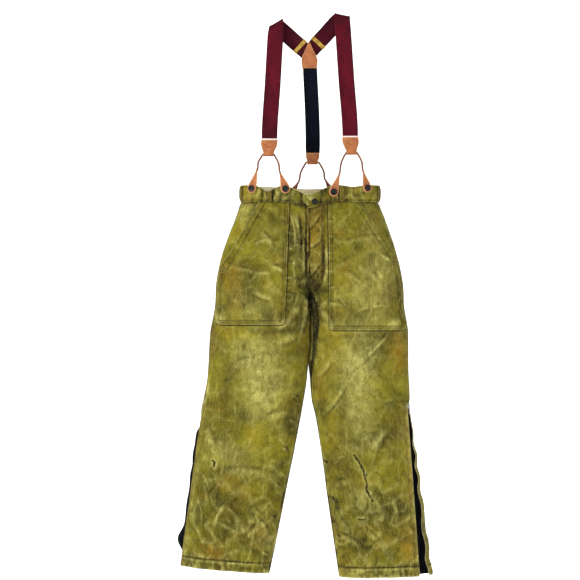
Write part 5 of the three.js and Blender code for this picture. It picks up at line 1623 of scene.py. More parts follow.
def belt_loop(name, node, turn):
    flat_x, flat_y = (float(v) for v in waist_curve(np.array(turn), BAND_OUT))
    normal = waist_normal(np.array([turn]))[0]
    across = np.array([-normal[1], normal[0], 0.0])
    low, high = (float(v) for v in band_levels(np.array(flat_x), np.array(flat_y)))
    arch = 4.4
    levels = np.array([high - 0.5, high - 3, high - 5.5, high - 9, (high + low) / 2,
                       low + 8, low + 4.5, low + 2, low - 1])
    stands = np.array([1.4, 1.3, 3.2, arch, arch + 0.6, arch, 3.2, 1.3, 1.4])
    fine = np.linspace(0, len(levels) - 1, 60)
    knots = np.arange(len(levels))
    smooth_stand = np.interp(fine, knots, stands)
    kernel = np.array([0.1, 0.2, 0.4, 0.2, 0.1])
    smooth_stand[2:-2] = np.convolve(smooth_stand, kernel, "valid")
    level = np.interp(fine, knots, levels)
    centres = np.array([flat_x, flat_y, 0.0]) + normal * smooth_stand[:, None]
    centres[:, 2] = level
    acrosses = np.repeat(across[None], 60, 0)
    outer, inner, uv, _, _, place = ribbon_grids(centres, acrosses, np.full(60, 11.5), 1.9, 10, 0.3, 30, 0.15)
    if np.sum((outer - inner) * normal) < 0:
        outer, inner = inner, outer
    edge = 5.75 - np.abs(place)
    outer = outer + normal * (-0.5 * bell(edge, 2.2, 0.9))[..., None]
    values = {"wear_and_highlight": 0.8 * np.maximum(1 - edge / 1.6, 0), "grime_and_shade": 0.5 * bell(edge, 2.2, 1.0),
              "stain": np.full_like(edge, 0.2)}
    piece = sheet_mesh(name, outer, inner, MATERIALS["trim"], uv + 7.0 + 0.2 * turn, values)
    dress(piece, "canvas_trim", node)
    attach(piece, "waist")
    surface = Surface(outer, np.broadcast_to(normal, outer.shape))
    threads = Threads()
    rows = np.arange(8, 52, 1.0)
    for column in (1.9, 8.1):
        threads.run(*surface.at(rows, np.full(len(rows), column)), length=2.4, gap=1.0, radius=0.35)
    for row in (2.0, 3.2, 4.4, 54.6, 55.8, 57.0):
        columns = np.linspace(0.8, 9.2, 20)
        threads.run(*surface.at(np.full(20, row), columns), length=2.0, gap=0.3, radius=0.4)
    seams = threads.piece(name + "_stitching", MATERIALS["olive_thread"])
    dress(seams, "canvas_trim")
    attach(seams, "waist")


# ---- zips ----


# The rings of one moulded tooth, as (reach from the edge, half width, half depth), and their
# eight corners.
TOOTH_RINGS = ((-1.5, 0.5, 0.7), (-1.0, 0.8, 1.1), (0.7, 0.8, 1.1), (1.3, 1.0, 0.9), (1.6, 0.6, 0.6))
TOOTH_OUTLINE = ((-1, -0.6), (-0.6, -1), (0.6, -1), (1, -0.6), (1, 0.6), (0.6, 1), (-0.6, 1), (-1, 0.6))


def zip_teeth(name, edge_points, across, outward, material, pitch=3.0):
    """Moulded teeth along the free edge of a zip tape."""
    steps = np.linalg.norm(np.diff(edge_points, axis=0), axis=1)
    distance = np.concatenate([[0], np.cumsum(steps)])
    count = int(distance[-1] / pitch)
    teeth = Threads()
    for k in range(count):
        at = (k + 0.5) * distance[-1] / count
        here = np.array([np.interp(at, distance, edge_points[:, n]) for n in range(3)])
        ahead = np.array([np.interp(at + 1, distance, edge_points[:, n]) for n in range(3)])
        up = unit(ahead - here)
        side = np.array([np.interp(at, distance, across[:, n]) for n in range(3)])
        side = unit(side)
        front = np.array([np.interp(at, distance, outward[:, n]) for n in range(3)])
        front = unit(front)
        rings = []
        for reach, wide, deep in TOOTH_RINGS:
            rings.append([here + side * reach + up * a * wide + front * b * deep
                          for a, b in TOOTH_OUTLINE])
        teeth.tube(rings)
    return teeth.piece(name, material)


# The tape's columns: (reach past the cloth's edge, depth behind its face).
TAPE_COLUMNS = ((-5.0, 2.6), (-2.0, 2.1), (0.4, 1.6), (1.8, 0.6), (3.0, 0.2))
TAPE_THICKNESS = 0.7


def leg_zip(leg):
    front, back = zip_edge(leg, -1), zip_edge(leg, 1)
    heights = np.arange(ZIP_TOP - 1, leg["hem"] + 2, -3.0)
    front_line, back_line = front(heights), back(heights)
    across = unit(back_line - front_line)
    up = unit(front(np.array([ZIP_TOP])) - front(np.array([leg["hem"]])))[0]
    outward = unit(np.cross(across, np.broadcast_to(up, across.shape)))
    outward = outward * np.sign(outward[:, :1] * leg["side"])
    top_across = across[0]
    body = "leg_" + leg["name"]
    for place, line, sign in (("front", front_line, 1), ("back", back_line, -1)):
        way = np.broadcast_to(top_across, across.shape) if place == "front" else across
        grids = []
        for deep in (0.0, TAPE_THICKNESS):
            grids.append(np.stack([line + way * sign * reach - outward * (inward + deep)
                                   for reach, inward in TAPE_COLUMNS], 1))
        reach_mm = np.array([reach for reach, _ in TAPE_COLUMNS])
        uv = np.stack([np.broadcast_to(reach_mm * MM, grids[0].shape[:2]),
                       np.broadcast_to(heights[:, None] * MM, grids[0].shape[:2])], -1)
        tape = sheet_mesh(f"leg_zip_{place}_tape_{leg['name']}", grids[0], grids[1], MATERIALS["tape"], uv)
        dress(tape, "zip_tape", f"leg_zip_{place}_chain_{leg['name']}")
        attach(tape, body)
        chain_line = line + way * sign * 2.9 - outward * 0.4
        teeth = zip_teeth(f"leg_zip_{place}_teeth_{leg['name']}", chain_line[::-1], (way * sign)[::-1],
                          outward[::-1], MATERIALS["old_teeth"])
        dress(teeth, "zip_steel")
        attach(teeth, body)
    gusset(leg, heights, front_line, back_line, outward)


def gusset(leg, heights, front_line, back_line, outward):
    """Black nylon folded into the opening; at the right hem it spills out."""
    columns = 26
    share = np.linspace(0, 1, columns + 1)
    width = np.linalg.norm(back_line - front_line, axis=1)
    base = front_line[:, None] * (1 - share)[None, :, None] + back_line[:, None] * share[None, :, None]
    arch = np.sin(np.pi * share)[None, :]
    h = heights[:, None] + 0 * arch
    folds = 2.2 * np.sin(share * 9 + 0.02 * h) * arch + 1.6 * noise(share * 5 + 0 * h, h / 45, 500) * arch
    depth = 3.2 + 0.26 * width[:, None] * arch + folds * np.minimum(1, width[:, None] / 30)
    if leg["side"] < 0:
        swell = np.sin(np.pi * share**0.6)[None, :]
        spill = 11 * (1 - ease(h, 350, 425)) * ease(h, 40, 80) + 13 * bell(h, 90, 26)
        depth = depth * (1 - ease(spill, 2, 9) * swell) - spill * swell
    grid = base - outward[:, None, :] * depth[..., None]
    inner = grid - outward[:, None, :] * 0.8
    uv = np.stack([width[:, None] * share[None, :] * MM, h * MM], -1)
    piece = sheet_mesh(f"gusset_{leg['name']}", grid, inner, MATERIALS["gusset"], uv)
    dress(piece, "gusset_cloth", f"leg_gusset_{leg['name']}")
    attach(piece, "leg_" + leg["name"])
    steps = np.linalg.norm(np.diff(grid, axis=1), axis=-1).sum(1)


def fly_zip():
    """The fly's own zip and the shield behind it."""
    low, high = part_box("fly_zip_chain")
    top = np.array([0, (low.y + high.y) / 2 / MM, high.z / MM + REST_HEIGHT])
    foot = np.array([0, (low.y + high.y) / 2 / MM, low.z / MM + REST_HEIGHT])
    top[1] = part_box("fly_zip_slider")[0].y / MM + 2.4
    foot[1] = low.y / MM + 1.0
    count = 60
    share = np.linspace(0, 1, count)[:, None]
    centre = top * (1 - share) + foot * share
    across = np.tile([1.0, 0, 0], (count, 1))
    outer, inner, uv, _, _, _ = ribbon_grids(centre, across, np.full(count, 26.0), 0.8, 8)
    tape = sheet_mesh("fly_tape", outer + [0, 1.4, 0], inner + [0, 1.4, 0], MATERIALS["dark_tape"], uv)
    dress(tape, "zip_tape", "fly_zip_chain")
    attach(tape, "waist")
    teeth = Threads()
    pitch = 1.7
    long = float(np.linalg.norm(top - foot))
    up = unit(top - foot)
    for k in range(int(long / pitch)):
        here = foot + up * (k + 0.5) * pitch
        side = 1 if k % 2 else -1
        rings = []
        for reach, wide in ((-1.2, 0.5), (-0.6, 0.7), (2.0, 0.7), (2.6, 0.5)):
            place = here + np.array([side * reach, 0, 0])
            rings.append([place + up * a * wide + np.array([0, b * 0.75, 0])
                          for a, b in ((-1, -0.7), (1, -0.7), (1, 0.7), (-1, 0.7))])
        teeth.tube(rings)
    chain = teeth.piece("fly_teeth", MATERIALS["brass"])
    dress(chain, "brass")
    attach(chain, "waist")
    low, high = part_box("fly_shield")
    rows, columns = 60, 18
    share_h, share_x = np.linspace(0, 1, rows + 1)[:, None], np.linspace(0, 1, columns + 1)[None, :]
    x = low.x / MM * (1 - share_x) + high.x / MM * share_x + 0 * share_h
    h = (high.z * (1 - share_h) + low.z * share_h) / MM + REST_HEIGHT + 0 * share_x
    lean = foot[1] + 3.6 + (top[1] - foot[1]) * (1 - share_h) + 0 * share_x
    y = lean + 0.5 * noise(x / 15, h / 25, 601)
    grid = np.stack([x, y, h], -1)
    shield = sheet_mesh("fly_guard", grid, grid + [0, CANVAS, 0], MATERIALS["trim"],
                        np.stack([x * MM, h * MM], -1), {"grime_and_shade": np.full_like(x, 0.5)})
    dress(shield, "canvas_trim", "fly_shield")
    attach(shield, "waist")


# ---- buttons ----


def button(name, node, at, normal, radius, stand, thread):
    """A four-hole button: a dished face with a rounded rim, and thread across the holes."""
    rings = [(0.01, 2.1), (0.6, 2.1), (1.2, 2.12), (1.7, 2.15), (2.2, 2.2), (2.7, 2.25), (3.2, 2.35), (3.8, 2.5),
             (radius - 3.2, 2.7), (radius - 2.4, 3.1), (radius - 1.6, 3.35), (radius - 0.8, 3.2),
             (radius - 0.25, 2.75), (radius, 2.1), (radius - 0.2, 1.5), (radius - 0.9, 1.05), (radius - 2.4, 0.85),
             (radius - 4.5, 0.8), (2.2, 0.8), (2.0, 0.6), (2.0, -stand), (0.01, -stand)]
    segments = 56
    turn = np.linspace(0, 2 * np.pi, segments, endpoint=False)
    normal = np.array(normal, float)
    level = unit(np.cross([0, 0, 1.0], normal))
    rise = np.cross(normal, level)
    hole_ring, hole_radius = 2.15, 0.85
    points = []
    for index, (ring_radius, height) in enumerate(rings):
        u, v = ring_radius * np.cos(turn), ring_radius * np.sin(turn)
        sink = np.zeros(segments)
        if index < 9:
            for quarter in range(4):
                hole_turn = math.pi / 4 + quarter * math.pi / 2
                gap = np.hypot(u - hole_ring * math.cos(hole_turn), v - hole_ring * math.sin(hole_turn))
                sink = np.maximum(sink, 1.3 * (1 - ease(gap, 0.6 * hole_radius, 1.15 * hole_radius)))
        z = height + stand - sink
        points.append(at + u[:, None] * level + v[:, None] * rise + z[:, None] * normal)
    points = np.concatenate(points)
    faces = []
    for r in range(len(rings) - 1):
        for k in range(segments):
            n = (k + 1) % segments
            faces.append([r * segments + k, r * segments + n, (r + 1) * segments + n, (r + 1) * segments + k])
    faces.append([k for k in reversed(range(segments))])
    faces.append([(len(rings) - 1) * segments + k for k in range(segments)])
    piece = mesh_piece(name, points, faces, MATERIALS["horn"], points[:, [0, 2]] * MM)
    face_outwards(piece)
    dress(piece, "button", node)
    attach(piece, "waist")
    threads = Threads()
    for side in (-1, 1):
        for strand in (-0.35, 0.0, 0.35):
            x = side * 1.52 + strand
            path = np.array([at + x * level + v * rise + (stand + 2.35) * normal
                              for v in np.linspace(-1.9, 1.9, 12)])
            threads.run(path, np.tile(normal, (12, 1)), length=3.6, gap=0.1, radius=0.3, proud=0.0)
    cross = threads.piece(name + "_thread", thread)
    dress(cross, "button")
    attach(cross, "waist")


def on_waist(x, face, h, out):
    turn = float(waist_turn(x)) * (1 if face < 0 else -1)
    flat_x, flat_y = waist_curve(np.array([turn]), 1.4)
    normal = waist_normal(np.array([turn]))[0]
    return np.array([flat_x[0], flat_y[0], h]) + normal * out, normal


# ---- braces ----


def lean_at(h):
    return FOLD_HALF_DEPTH + BRACE_SPREAD * (REST_HEIGHT - h)


def front_plane(x, h):
    return np.array([x, -lean_at(h), h], float)


def back_plane(x, h, depth=0.0):
    return np.array([x, lean_at(h) + depth, h], float)


def steady_slopes(values, knots):
    """Slopes at the knots that make a smooth curve without overshoot."""
    span = np.diff(knots)
    span = span[:, None] if values.ndim > 1 else span
    steps = np.diff(values, axis=0) / span
    same = steps[:-1] * steps[1:] > 0
    total = np.where(same, steps[:-1] + steps[1:], 1)
    slopes = np.zeros_like(values)
    slopes[1:-1] = np.where(same, 2 * steps[:-1] * steps[1:] / total, 0)
    slopes[0], slopes[-1] = steps[0], steps[-1]
    return slopes


def smooth_stations(stations, step=2.4):
    """Stations (place, across, width) taken through a smooth curve in even steps."""
    places = np.array([s[0] for s in stations], float)
    acrosses = unit(np.array([s[1] for s in stations], float))
    widths = np.array([s[2] for s in stations], float)
    knots = np.concatenate([[0], np.cumsum(np.linalg.norm(np.diff(places, axis=0), axis=1))])
    count = max(8, int(knots[-1] / step))
    at = np.linspace(0, knots[-1], count + 1)

    def through(values):
        slopes = steady_slopes(values, knots)
        k = np.clip(np.searchsorted(knots, at) - 1, 0, len(knots) - 2)
        span = knots[k + 1] - knots[k]
        s = (at - knots[k]) / span
        if values.ndim > 1:
            s, span = s[:, None], span[:, None]
        return ((2 * s**3 - 3 * s**2 + 1) * values[k] + (s**3 - 2 * s**2 + s) * span * slopes[k]
                + (3 * s**2 - 2 * s**3) * values[k + 1] + (s**3 - s**2) * span * slopes[k + 1])

    return through(places), unit(through(acrosses)), through(widths)


def strap_stations(brace):
    slope = brace["fold_slope"]
    level = np.array([math.cos(slope), 0, math.sin(slope)])
    fold_x, fold_h = brace["fold_x"], brace["fold_h"]
    upper = np.array([fold_x, -FOLD_HALF_DEPTH, fold_h - 6], float)
    tip = back_plane(brace["yoke_x"], brace["yoke_h"], brace["yoke_depth"])
    start = back_plane(fold_x - math.copysign(8, fold_x), fold_h - 12, brace["yoke_depth"])
    run = unit(tip - start)
    across = unit(np.cross(run, unit(np.array([0, 1, BRACE_SPREAD]))))
    across = across * math.copysign(1, across[0])
    level_x = np.array([1.0, 0, 0])
    end = front_plane(brace["end_x"], brace["end_h"])
    width = STRAP_WIDTH
    return [
        (front_plane(brace["end_x"], brace["end_h"] - 20), level_x, 24),
        (end, level_x, width - 1),
        (end * 0.5 + upper * 0.5, level_x, width),
        (end * 0.12 + upper * 0.88, level_x, width),
        (upper, level_x * 0.2 + level * 0.8, width),
        (np.array([fold_x, -FOLD_HALF_DEPTH + 1.4, fold_h]), level, width),
        (np.array([fold_x, FOLD_HALF_DEPTH - 1.4, fold_h]), level, width),
        (np.array([fold_x, FOLD_HALF_DEPTH, fold_h - 6]), level * 0.7 + across * 0.3, width),
        (start, across, width),
        (start * 0.5 + tip * 0.5, across, width),
        (tip, across, width - 2),
    ]


def strap_piece(name, stations, material, slot, node, seed, thickness=WEBBING):
    centres, acrosses, widths = smooth_stations(stations)
    outer, inner, uv, _, length, place = ribbon_grids(
        centres, acrosses, widths, thickness, 14, 0.5, seed, 0.35)
    edge = widths[:, None] / 2 - np.abs(place)
    fray = 0.35 * noise(length[:, None] / 2.2 + 0 * place, place / 4, seed + 1) * (edge < 0.5)
    outer = outer + acrosses[:, None, :] * (fray * np.sign(place))[..., None]
    # On the left strap a pale patch near the lower end is a painted highlight; past about 340 mm the strap behind
    # the fold is painted dark, a painted shade.
    wear_and_highlight = 0.45 * np.maximum(1 - edge / 2.5, 0) + 0.6 * bell(length[:, None], 40, 60) * (seed % 2)
    grime_and_shade = 0.7 * bell(edge, 3.2, 1.2) + 1.1 * ease(length[:, None], 335, 350) + 0 * place
    piece = sheet_mesh(name, outer, inner, material, uv, {"wear_and_highlight": wear_and_highlight + 0 * place, "grime_and_shade": grime_and_shade})
    dress(piece, slot, node)
    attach(piece, "waist")


def leather_end(plane, top, bar, name, node):
    """A folded leather end: down the front, round the cord and up behind the strap's end."""
    top_x, top_h, top_width = top
    bar_x, bar_h, bar_width = bar
    bottom = bar_h - 0.4
    reach = CORD_RADIUS + 0.4 + LEATHER / 2
    slope = -1 if plane(0, 0)[1] < 0 else 1
    profile = [(top_h, -2.4), (top_h - 6, -2.6), (top_h - 12, -2.6), (bottom + 8, -reach), (bottom, -reach)]
    for turn in (0.15, 0.3, 0.5, 0.7, 0.85):
        profile.append((bottom - reach * math.sin(math.pi * turn), -reach * math.cos(math.pi * turn)))
    profile += [(bottom, reach), (bottom + 8, reach), (top_h - 12, 2.6), (top_h - 6, 2.6), (top_h, 2.4)]
    stations = []
    for h, out in profile:
        share = min(1, max(0, (top_h - h) / (top_h - bottom)))
        y = plane(0, max(h, bottom))[1] + slope * -out
        width = top_width + (bar_width - top_width) * float(ease(share, 0.3, 1.0))
        stations.append((np.array([top_x + (bar_x - top_x) * share, y, h]), np.array([1.0, 0, 0]), width))
    centres, acrosses, widths = smooth_stations(stations, 1.3)
    outer, inner, uv, _, length, place = ribbon_grids(
        centres, acrosses, widths, LEATHER - 0.3, 18, 0.0, 71, 0.12)
    edge = widths[:, None] / 2 - np.abs(place)
    end_gap = np.minimum(length, length[-1] - length)[:, None] + 0 * place
    wear_and_highlight = 0.9 * np.maximum(1 - edge / 1.4, 0) + 0.9 * np.maximum(1 - end_gap / 2.6, 0)
    band = end_gap - 15 - 5 * np.cos(place / 20 * math.pi)
    grime_and_shade = 0.6 * bell(edge, 3.2, 1.2) + 1.2 * bell(band, 0, 1.3)
    piece = sheet_mesh(name, outer, inner, MATERIALS["leather"], uv, {"wear_and_highlight": wear_and_highlight, "grime_and_shade": grime_and_shade})
    dress(piece, "tan_leather", node)
    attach(piece, "waist")
    rows = len(centres)
    core = np.array([centres[:, 0].mean(), plane(0, (top_h + bottom) / 2)[1], (top_h + bottom) / 2])
    outer_reach, inner_reach = (np.linalg.norm(grid - core, axis=-1).mean() for grid in (outer, inner))
    far, near = (outer, inner) if outer_reach > inner_reach else (inner, outer)
    normals = grid_normals(far, far - near)
    surface = Surface(far, normals)
    threads = Threads()
    step_mm = length[-1] / (rows - 1)
    front_rows = np.arange(3.0, (top_h - bottom - 4), 1.0) / step_mm
    for offset in (0.0, 1.0):
        for column in (1.6, 16.4):
            row_path = front_rows if offset == 0 else (rows - 1) - front_rows
            threads.run(*surface.at(row_path, np.full(len(row_path), column)),
                        length=2.6, gap=1.0, radius=0.38)
        # A stitched band curves across below the top edge.
        columns = np.linspace(1.6, 16.4, 40)
        dip = 3.5 * np.cos((columns - 9) / 18 * math.pi)
        for depth in (3.0, 12.0):
            row = (depth + (dip if depth > 5 else 0 * dip)) / step_mm
            row = row if offset == 0 else (rows - 1) - row
            threads.run(*surface.at(row, columns), length=2.4, gap=0.9, radius=0.38)
    seams = threads.piece(name + "_stitching", MATERIALS["tan_thread"])
    dress(seams, "tan_leather")
    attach(seams, "waist")


def strap_binding(brace):
    """A pale edge of webbing turned over at the top of the leather end."""
    level = np.array([1.0, 0, 0])
    middle = front_plane(brace["end_x"], brace["end_h"])
    width = STRAP_WIDTH
    stations = [(middle + [0, 0, 3.2], level, width - 0.6), (middle + [0, 0, 1.6], level, width),
                (middle, level, width)]
    centres, acrosses, widths = smooth_stations(stations, 0.5)
    outer, inner, uv = ribbon_grids(centres, acrosses, widths, 3.4, 12, 0.2, 97, 0.2)[:3]
    piece = sheet_mesh(f"strap_binding_{brace['name']}", outer, inner, MATERIALS["binding"], uv)
    dress(piece, "lining")
    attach(piece, "waist")


def catmull(points, count):
    points = np.array(points, float)
    knots = np.concatenate([[0], np.cumsum(np.linalg.norm(np.diff(points, axis=0), axis=1) ** 0.5)])
    at = np.linspace(0, knots[-1], count)
    slopes = np.gradient(points, knots, axis=0)
    k = np.clip(np.searchsorted(knots, at) - 1, 0, len(knots) - 2)
    span = (knots[k + 1] - knots[k])[:, None]
    s = ((at - knots[k])[:, None]) / span
    return ((2 * s**3 - 3 * s**2 + 1) * points[k] + (s**3 - 2 * s**2 + s) * span * slopes[k]
            + (3 * s**2 - 2 * s**3) * points[k + 1] + (s**3 - s**2) * span * slopes[k + 1])


def tube_mesh(name, path, radii, material, sides=20, flatten=1.0):
    """A round tube along a path, with closed ends."""
    run = unit(np.gradient(path, axis=0))
    side = unit(np.cross(run, np.array([0, 1.0, 0.05])))
    up = unit(np.cross(side, run))
    turn = np.linspace(0, 2 * np.pi, sides, endpoint=False)
    rings = [path[k] + radii[k] * (np.cos(turn)[:, None] * side[k] + flatten * np.sin(turn)[:, None] * up[k])
             for k in range(len(path))]
    points = np.concatenate(rings)
    length = np.concatenate([[0], np.cumsum(np.linalg.norm(np.diff(path, axis=0), axis=1))])
    faces = []
    for r in range(len(path) - 1):
        for k in range(sides):
            n = (k + 1) % sides
            faces.append([r * sides + k, r * sides + n, (r + 1) * sides + n, (r + 1) * sides + k])
    faces.append([k for k in reversed(range(sides))])
    faces.append([(len(path) - 1) * sides + k for k in range(sides)])
    uv = np.stack([np.tile(turn * 2.3 * MM, len(path)), np.repeat(length * MM, sides)], -1)
    groove = np.tile(bell(np.abs(turn - math.pi / 2), 0, 0.25), len(path))
    piece = mesh_piece(name, points, faces, material, uv, {"grime_and_shade": groove})
    face_outwards(piece)
    return piece


def button_loop(brace, face, plane, name, node, tab_material, cord_material, slot):
    """A rolled leather loop whose two ends flare into buttonhole tabs."""
    necks = []
    for index, (x, h, neck_x, neck_h) in enumerate(brace["tabs"]):
        seat, normal = on_waist(x, face, h, 0.9)
        rise = np.array([neck_x, seat[1], neck_h]) - seat
        rise = unit(rise - normal * np.dot(rise, normal))
        reach = math.hypot(neck_x - x, neck_h - h)
        side = np.cross(rise, normal)
        count = 46
        s = np.concatenate([-TAB_RADIUS * np.cos(np.linspace(0.02, math.pi / 2, 14)),
                            np.linspace(0.6, reach + 1, count - 14)])
        round_end = np.sqrt(np.maximum(TAB_RADIUS**2 - np.minimum(s, 0) ** 2, 0.01))
        narrow = CORD_RADIUS + (TAB_RADIUS - CORD_RADIUS) * (1 - ease(s, 0, reach * 0.92))
        half = np.where(s < 0, round_end, narrow)
        columns = 14
        share = np.linspace(-1, 1, columns + 1)
        thick = LEATHER * 0.5 + (CORD_RADIUS - LEATHER * 0.5) * ease(s, reach * 0.45, reach)
        lift = thick[:, None] + 0.4 * ease(s, 0, reach)[:, None]
        round_off = np.sqrt(np.maximum(1 - share**2, 0.0))[None, :]
        soft = ease(s, reach * 0.35, reach)[:, None]
        body = thick[:, None] * ((1 - soft) + soft * round_off)
        slit = (0.7 * bell(share[None, :] * half[:, None], 0, 0.7)
                * ease(s, 2, 4)[:, None] * (1 - ease(s, 15, 18))[:, None])
        middle = seat + s[:, None, None] * rise + (share[None, :] * half[:, None])[..., None] * side
        outer = middle + (lift + body - slit)[..., None] * normal
        inner = middle + (lift - body)[..., None] * normal
        edge = half[:, None] * (1 - np.abs(share))[None, :]
        values = {"wear_and_highlight": 0.8 * np.maximum(1 - edge / 1.5, 0), "grime_and_shade": 0.6 * bell(edge, 2.8, 0.9) + slit}
        uv = np.stack([share[None, :] * half[:, None] * MM, np.repeat(s[:, None], columns + 1, 1) * MM], -1)
        tab = sheet_mesh(f"{name}_tab_{index + 1}", outer, inner, tab_material, uv, values)
        dress(tab, slot)
        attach(tab, "waist")
        threads = Threads()
        surface = Surface(outer, np.broadcast_to(normal, outer.shape))
        rows = np.arange(3, 34, 0.5)
        half_at = np.interp(rows, np.arange(count), half)
        for way in (-1, 1):
            column = (1 + way * (1 - 2.8 / np.maximum(half_at, 3.2))) / 2 * columns
            threads.run(*surface.at(rows, column), length=2.2, gap=0.9, radius=0.34)
        seams = threads.piece(f"{name}_tab_{index + 1}_stitching", MATERIALS["tan_thread"])
        dress(seams, slot)
        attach(seams, "waist")
        root = seat + normal * (CORD_RADIUS + 0.4)
        necks.append((root + rise * (reach - 5), root + rise * (reach + 2)))
        place = "back" if face > 0 else "front"
        which = "right" if x < 0 else "left"
        suffix = "" if face > 0 else ("_outer" if abs(x) > 100 else "_inner")
        button(f"button_{place}_{which}{suffix}", f"brace_button_{place}_{which}{suffix}",
               on_waist(x, face, h, 0.4)[0] + normal * (LEATHER + 0.6), normal, 8.7, 0.4, MATERIALS["dark_thread"])

    def bar(offset, drop=0.0):
        return np.array([brace["bar_x"] + offset, plane(0, brace["bar_h"])[1], brace["bar_h"] - drop])

    half_bar = brace["bar_half"]
    bows = []
    for way, neck in ((-1, necks[0][1]), (1, necks[1][1])):
        shoulder = bar(way * (half_bar + 4), 5)
        bows.append(0.5 * shoulder + 0.5 * neck + [way * 3.5, 0, 0])
    route = [necks[0][0], necks[0][1], bows[0], bar(-half_bar - 4, 5), bar(-half_bar), bar(0), bar(half_bar),
             bar(half_bar + 4, 5), bows[1], necks[1][1], necks[1][0]]
    path = catmull(route, 120)
    radii = np.full(120, CORD_RADIUS) * (1 + 0.03 * noise(np.linspace(0, 20, 120), np.zeros(120), 77))
    piece = tube_mesh(name, path, radii, cord_material)
    dress(piece, slot, node)
    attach(piece, "waist")


def yoke(name, node, depth, seed):
    """One of the two pointed leather plates that the strap ends are sewn between."""
    foot = 1327.0
    rises = np.linspace(0, 69, 50)
    left_side = np.array([(-19.5, 0), (-22.5, 17), (-22, 25), (-2.6, 69)])
    right_side = np.array([(18, 0), (20.5, 17), (20, 25), (-1.4, 69)])
    left = np.interp(rises, left_side[:, 1], left_side[:, 0])
    right = np.interp(rises, right_side[:, 1], right_side[:, 0])
    kernel = np.ones(5) / 5
    left[2:-2] = np.convolve(left, kernel, "valid")
    right[2:-2] = np.convolve(right, kernel, "valid")
    columns = 16
    share = np.linspace(0, 1, columns + 1)[None, :]
    x = left[:, None] * (1 - share) + right[:, None] * share
    lean = unit(np.array([0, -BRACE_SPREAD, 1.0]))
    normal = unit(np.array([0, 1.0, BRACE_SPREAD]))
    origin = back_plane(0, foot, depth)
    wave = 0.25 * noise(x / 14, rises[:, None] / 16, seed)
    centre = (origin + rises[:, None, None] * lean + x[..., None] * np.array([1.0, 0, 0])
              + wave[..., None] * normal)
    outer, inner = centre + normal, centre - normal
    edge = np.minimum(x - left[:, None], right[:, None] - x)
    edge = np.minimum(edge, rises[:, None])
    values = {"wear_and_highlight": 0.8 * np.maximum(1 - edge / 1.5, 0), "grime_and_shade": 0.6 * bell(edge, 3, 1)}
    uv = np.stack([x * MM, rises[:, None] * MM + 0 * x], -1)
    piece = sheet_mesh(name, outer, inner, MATERIALS["leather"], uv, values)
    dress(piece, "tan_leather", node)
    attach(piece, "waist")
    threads = Threads()
    for side_grid, way in ((outer, 1), (inner, -1)):
        surface = Surface(side_grid, np.broadcast_to(normal * way, side_grid.shape))
        rows = np.arange(2.2, 46, 0.5)
        wide = np.interp(rows, np.arange(50), right - left)
        for end in (0, 1):
            column = np.clip(3.0 / wide, 0, 0.5) * columns
            threads.run(*surface.at(rows, column if end == 0 else columns - column),
                        length=2.4, gap=1.0, radius=0.38)
        across = np.linspace(1.6, columns - 1.6, 40)
        threads.run(*surface.at(np.full(40, 2.2), across), length=2.4, gap=1.0, radius=0.38)
    seams = threads.piece(name + "_stitching", MATERIALS["tan_thread"])
    dress(seams, "tan_leather")
    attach(seams, "waist")


def metalwork():
    """The CAD's own metal pieces, with softened edges and worn metal."""
    finishes = {
        "steel": ["leg_zip_slider_right", "leg_zip_slider_left", "leg_zip_pull_right", "leg_zip_pull_left"],
        "brass": ["fly_zip_slider", "fly_zip_pull", "adjuster_frame_right", "adjuster_frame_left",
                  "adjuster_lever_right", "adjuster_lever_left"],
    }
    for finish, names in finishes.items():
        for name in names:
            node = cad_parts[name]
            node.data.materials.clear()
            node.data.materials.append(MATERIALS[finish])
            bevel = node.modifiers.new("soft_edges", "BEVEL")
            bevel.width = 0.00028
            bevel.segments = 2
            bevel.limit_method = "ANGLE"
            bevel.angle_limit = math.radians(32)
            node.data.polygons.foreach_set("use_smooth", [False] * len(node.data.polygons))


# ---- the object ----

make_camera()
MATERIALS = make_materials()
make_studio()

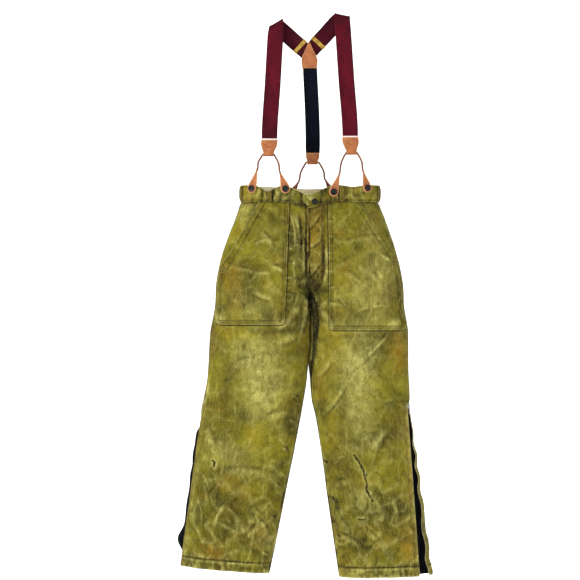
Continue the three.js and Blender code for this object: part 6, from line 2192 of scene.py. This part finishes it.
for leg in LEGS:
    for face in (-1, 1):
        panel = leg_panel(leg, face)
        panel_stitches(panel)
        if face < 0:
            darning(panel)
    front_pocket(leg)
    back_pocket(leg)
    leg_zip(leg)
fly_flap()
fly_zip()
waistband()
belt_loop("belt_loop_cloth_front_right", "belt_loop_front_right", float(waist_turn(-104)))
belt_loop("belt_loop_cloth_front_left", "belt_loop_front_left", float(waist_turn(81)))
belt_loop("belt_loop_cloth_side_right", "belt_loop_side_right", math.pi + 0.24)
belt_loop("belt_loop_cloth_side_left", "belt_loop_side_left", -0.24)
belt_loop("belt_loop_cloth_back", "belt_loop_back", math.pi / 2 + 0.02)

waist_at, waist_way = on_waist(11.5, -1, 974, 0.4)
button("button_waist", "waist_button", waist_at, waist_way, 8.2, 3.0, MATERIALS["dark_thread"])

for number, brace in enumerate(BRACES):
    name = brace["name"]
    strap_piece(f"strap_{name}", strap_stations(brace), MATERIALS["maroon"], "maroon_webbing",
                f"brace_strap_{name}", 80 + number)
    strap_binding(brace)
    leather_end(front_plane, (brace["end_x"], brace["end_h"], STRAP_WIDTH + 1),
                (brace["bar_x"], brace["bar_h"], 26), f"strap_end_{name}", f"leather_end_{name}")
    button_loop(brace, -1, front_plane, f"loop_{name}", f"button_loop_{name}", MATERIALS["leather"],
                MATERIALS["cord_leather"], "tan_leather")

LEVEL = np.array([1.0, 0, 0])
back_stations = [
    (back_plane(BACK_BRACE["end_x"], BACK_BRACE["end_h"] - 10), LEVEL, 28),
    (back_plane(BACK_BRACE["end_x"], BACK_BRACE["end_h"] + 4), LEVEL, 37),
    (back_plane(BACK_BRACE["end_x"], BACK_BRACE["end_h"] + 30), LEVEL, 38),
    (back_plane(BACK_BRACE["top_x"], BACK_BRACE["top_h"], 3.6), LEVEL, 37),
]
strap_piece("strap_back", back_stations, MATERIALS["navy"], "navy_elastic", "brace_strap_back", 84)
leather_end(back_plane, (BACK_BRACE["end_x"], BACK_BRACE["end_h"] + 2, 36),
            (BACK_BRACE["bar_x"], BACK_BRACE["bar_h"], 27), "strap_end_back", "leather_end_back")
button_loop(BACK_BRACE, 1, back_plane, "loop_back", "button_loop_back", MATERIALS["dark_leather"],
            MATERIALS["cord_leather"], "dark_leather")
yoke("yoke_leather_inner", "yoke_inner", 0, 91)
yoke("yoke_leather_outer", "yoke_outer", 8, 92)
metalwork()

bpy.context.scene.view_settings.view_transform = "Standard"
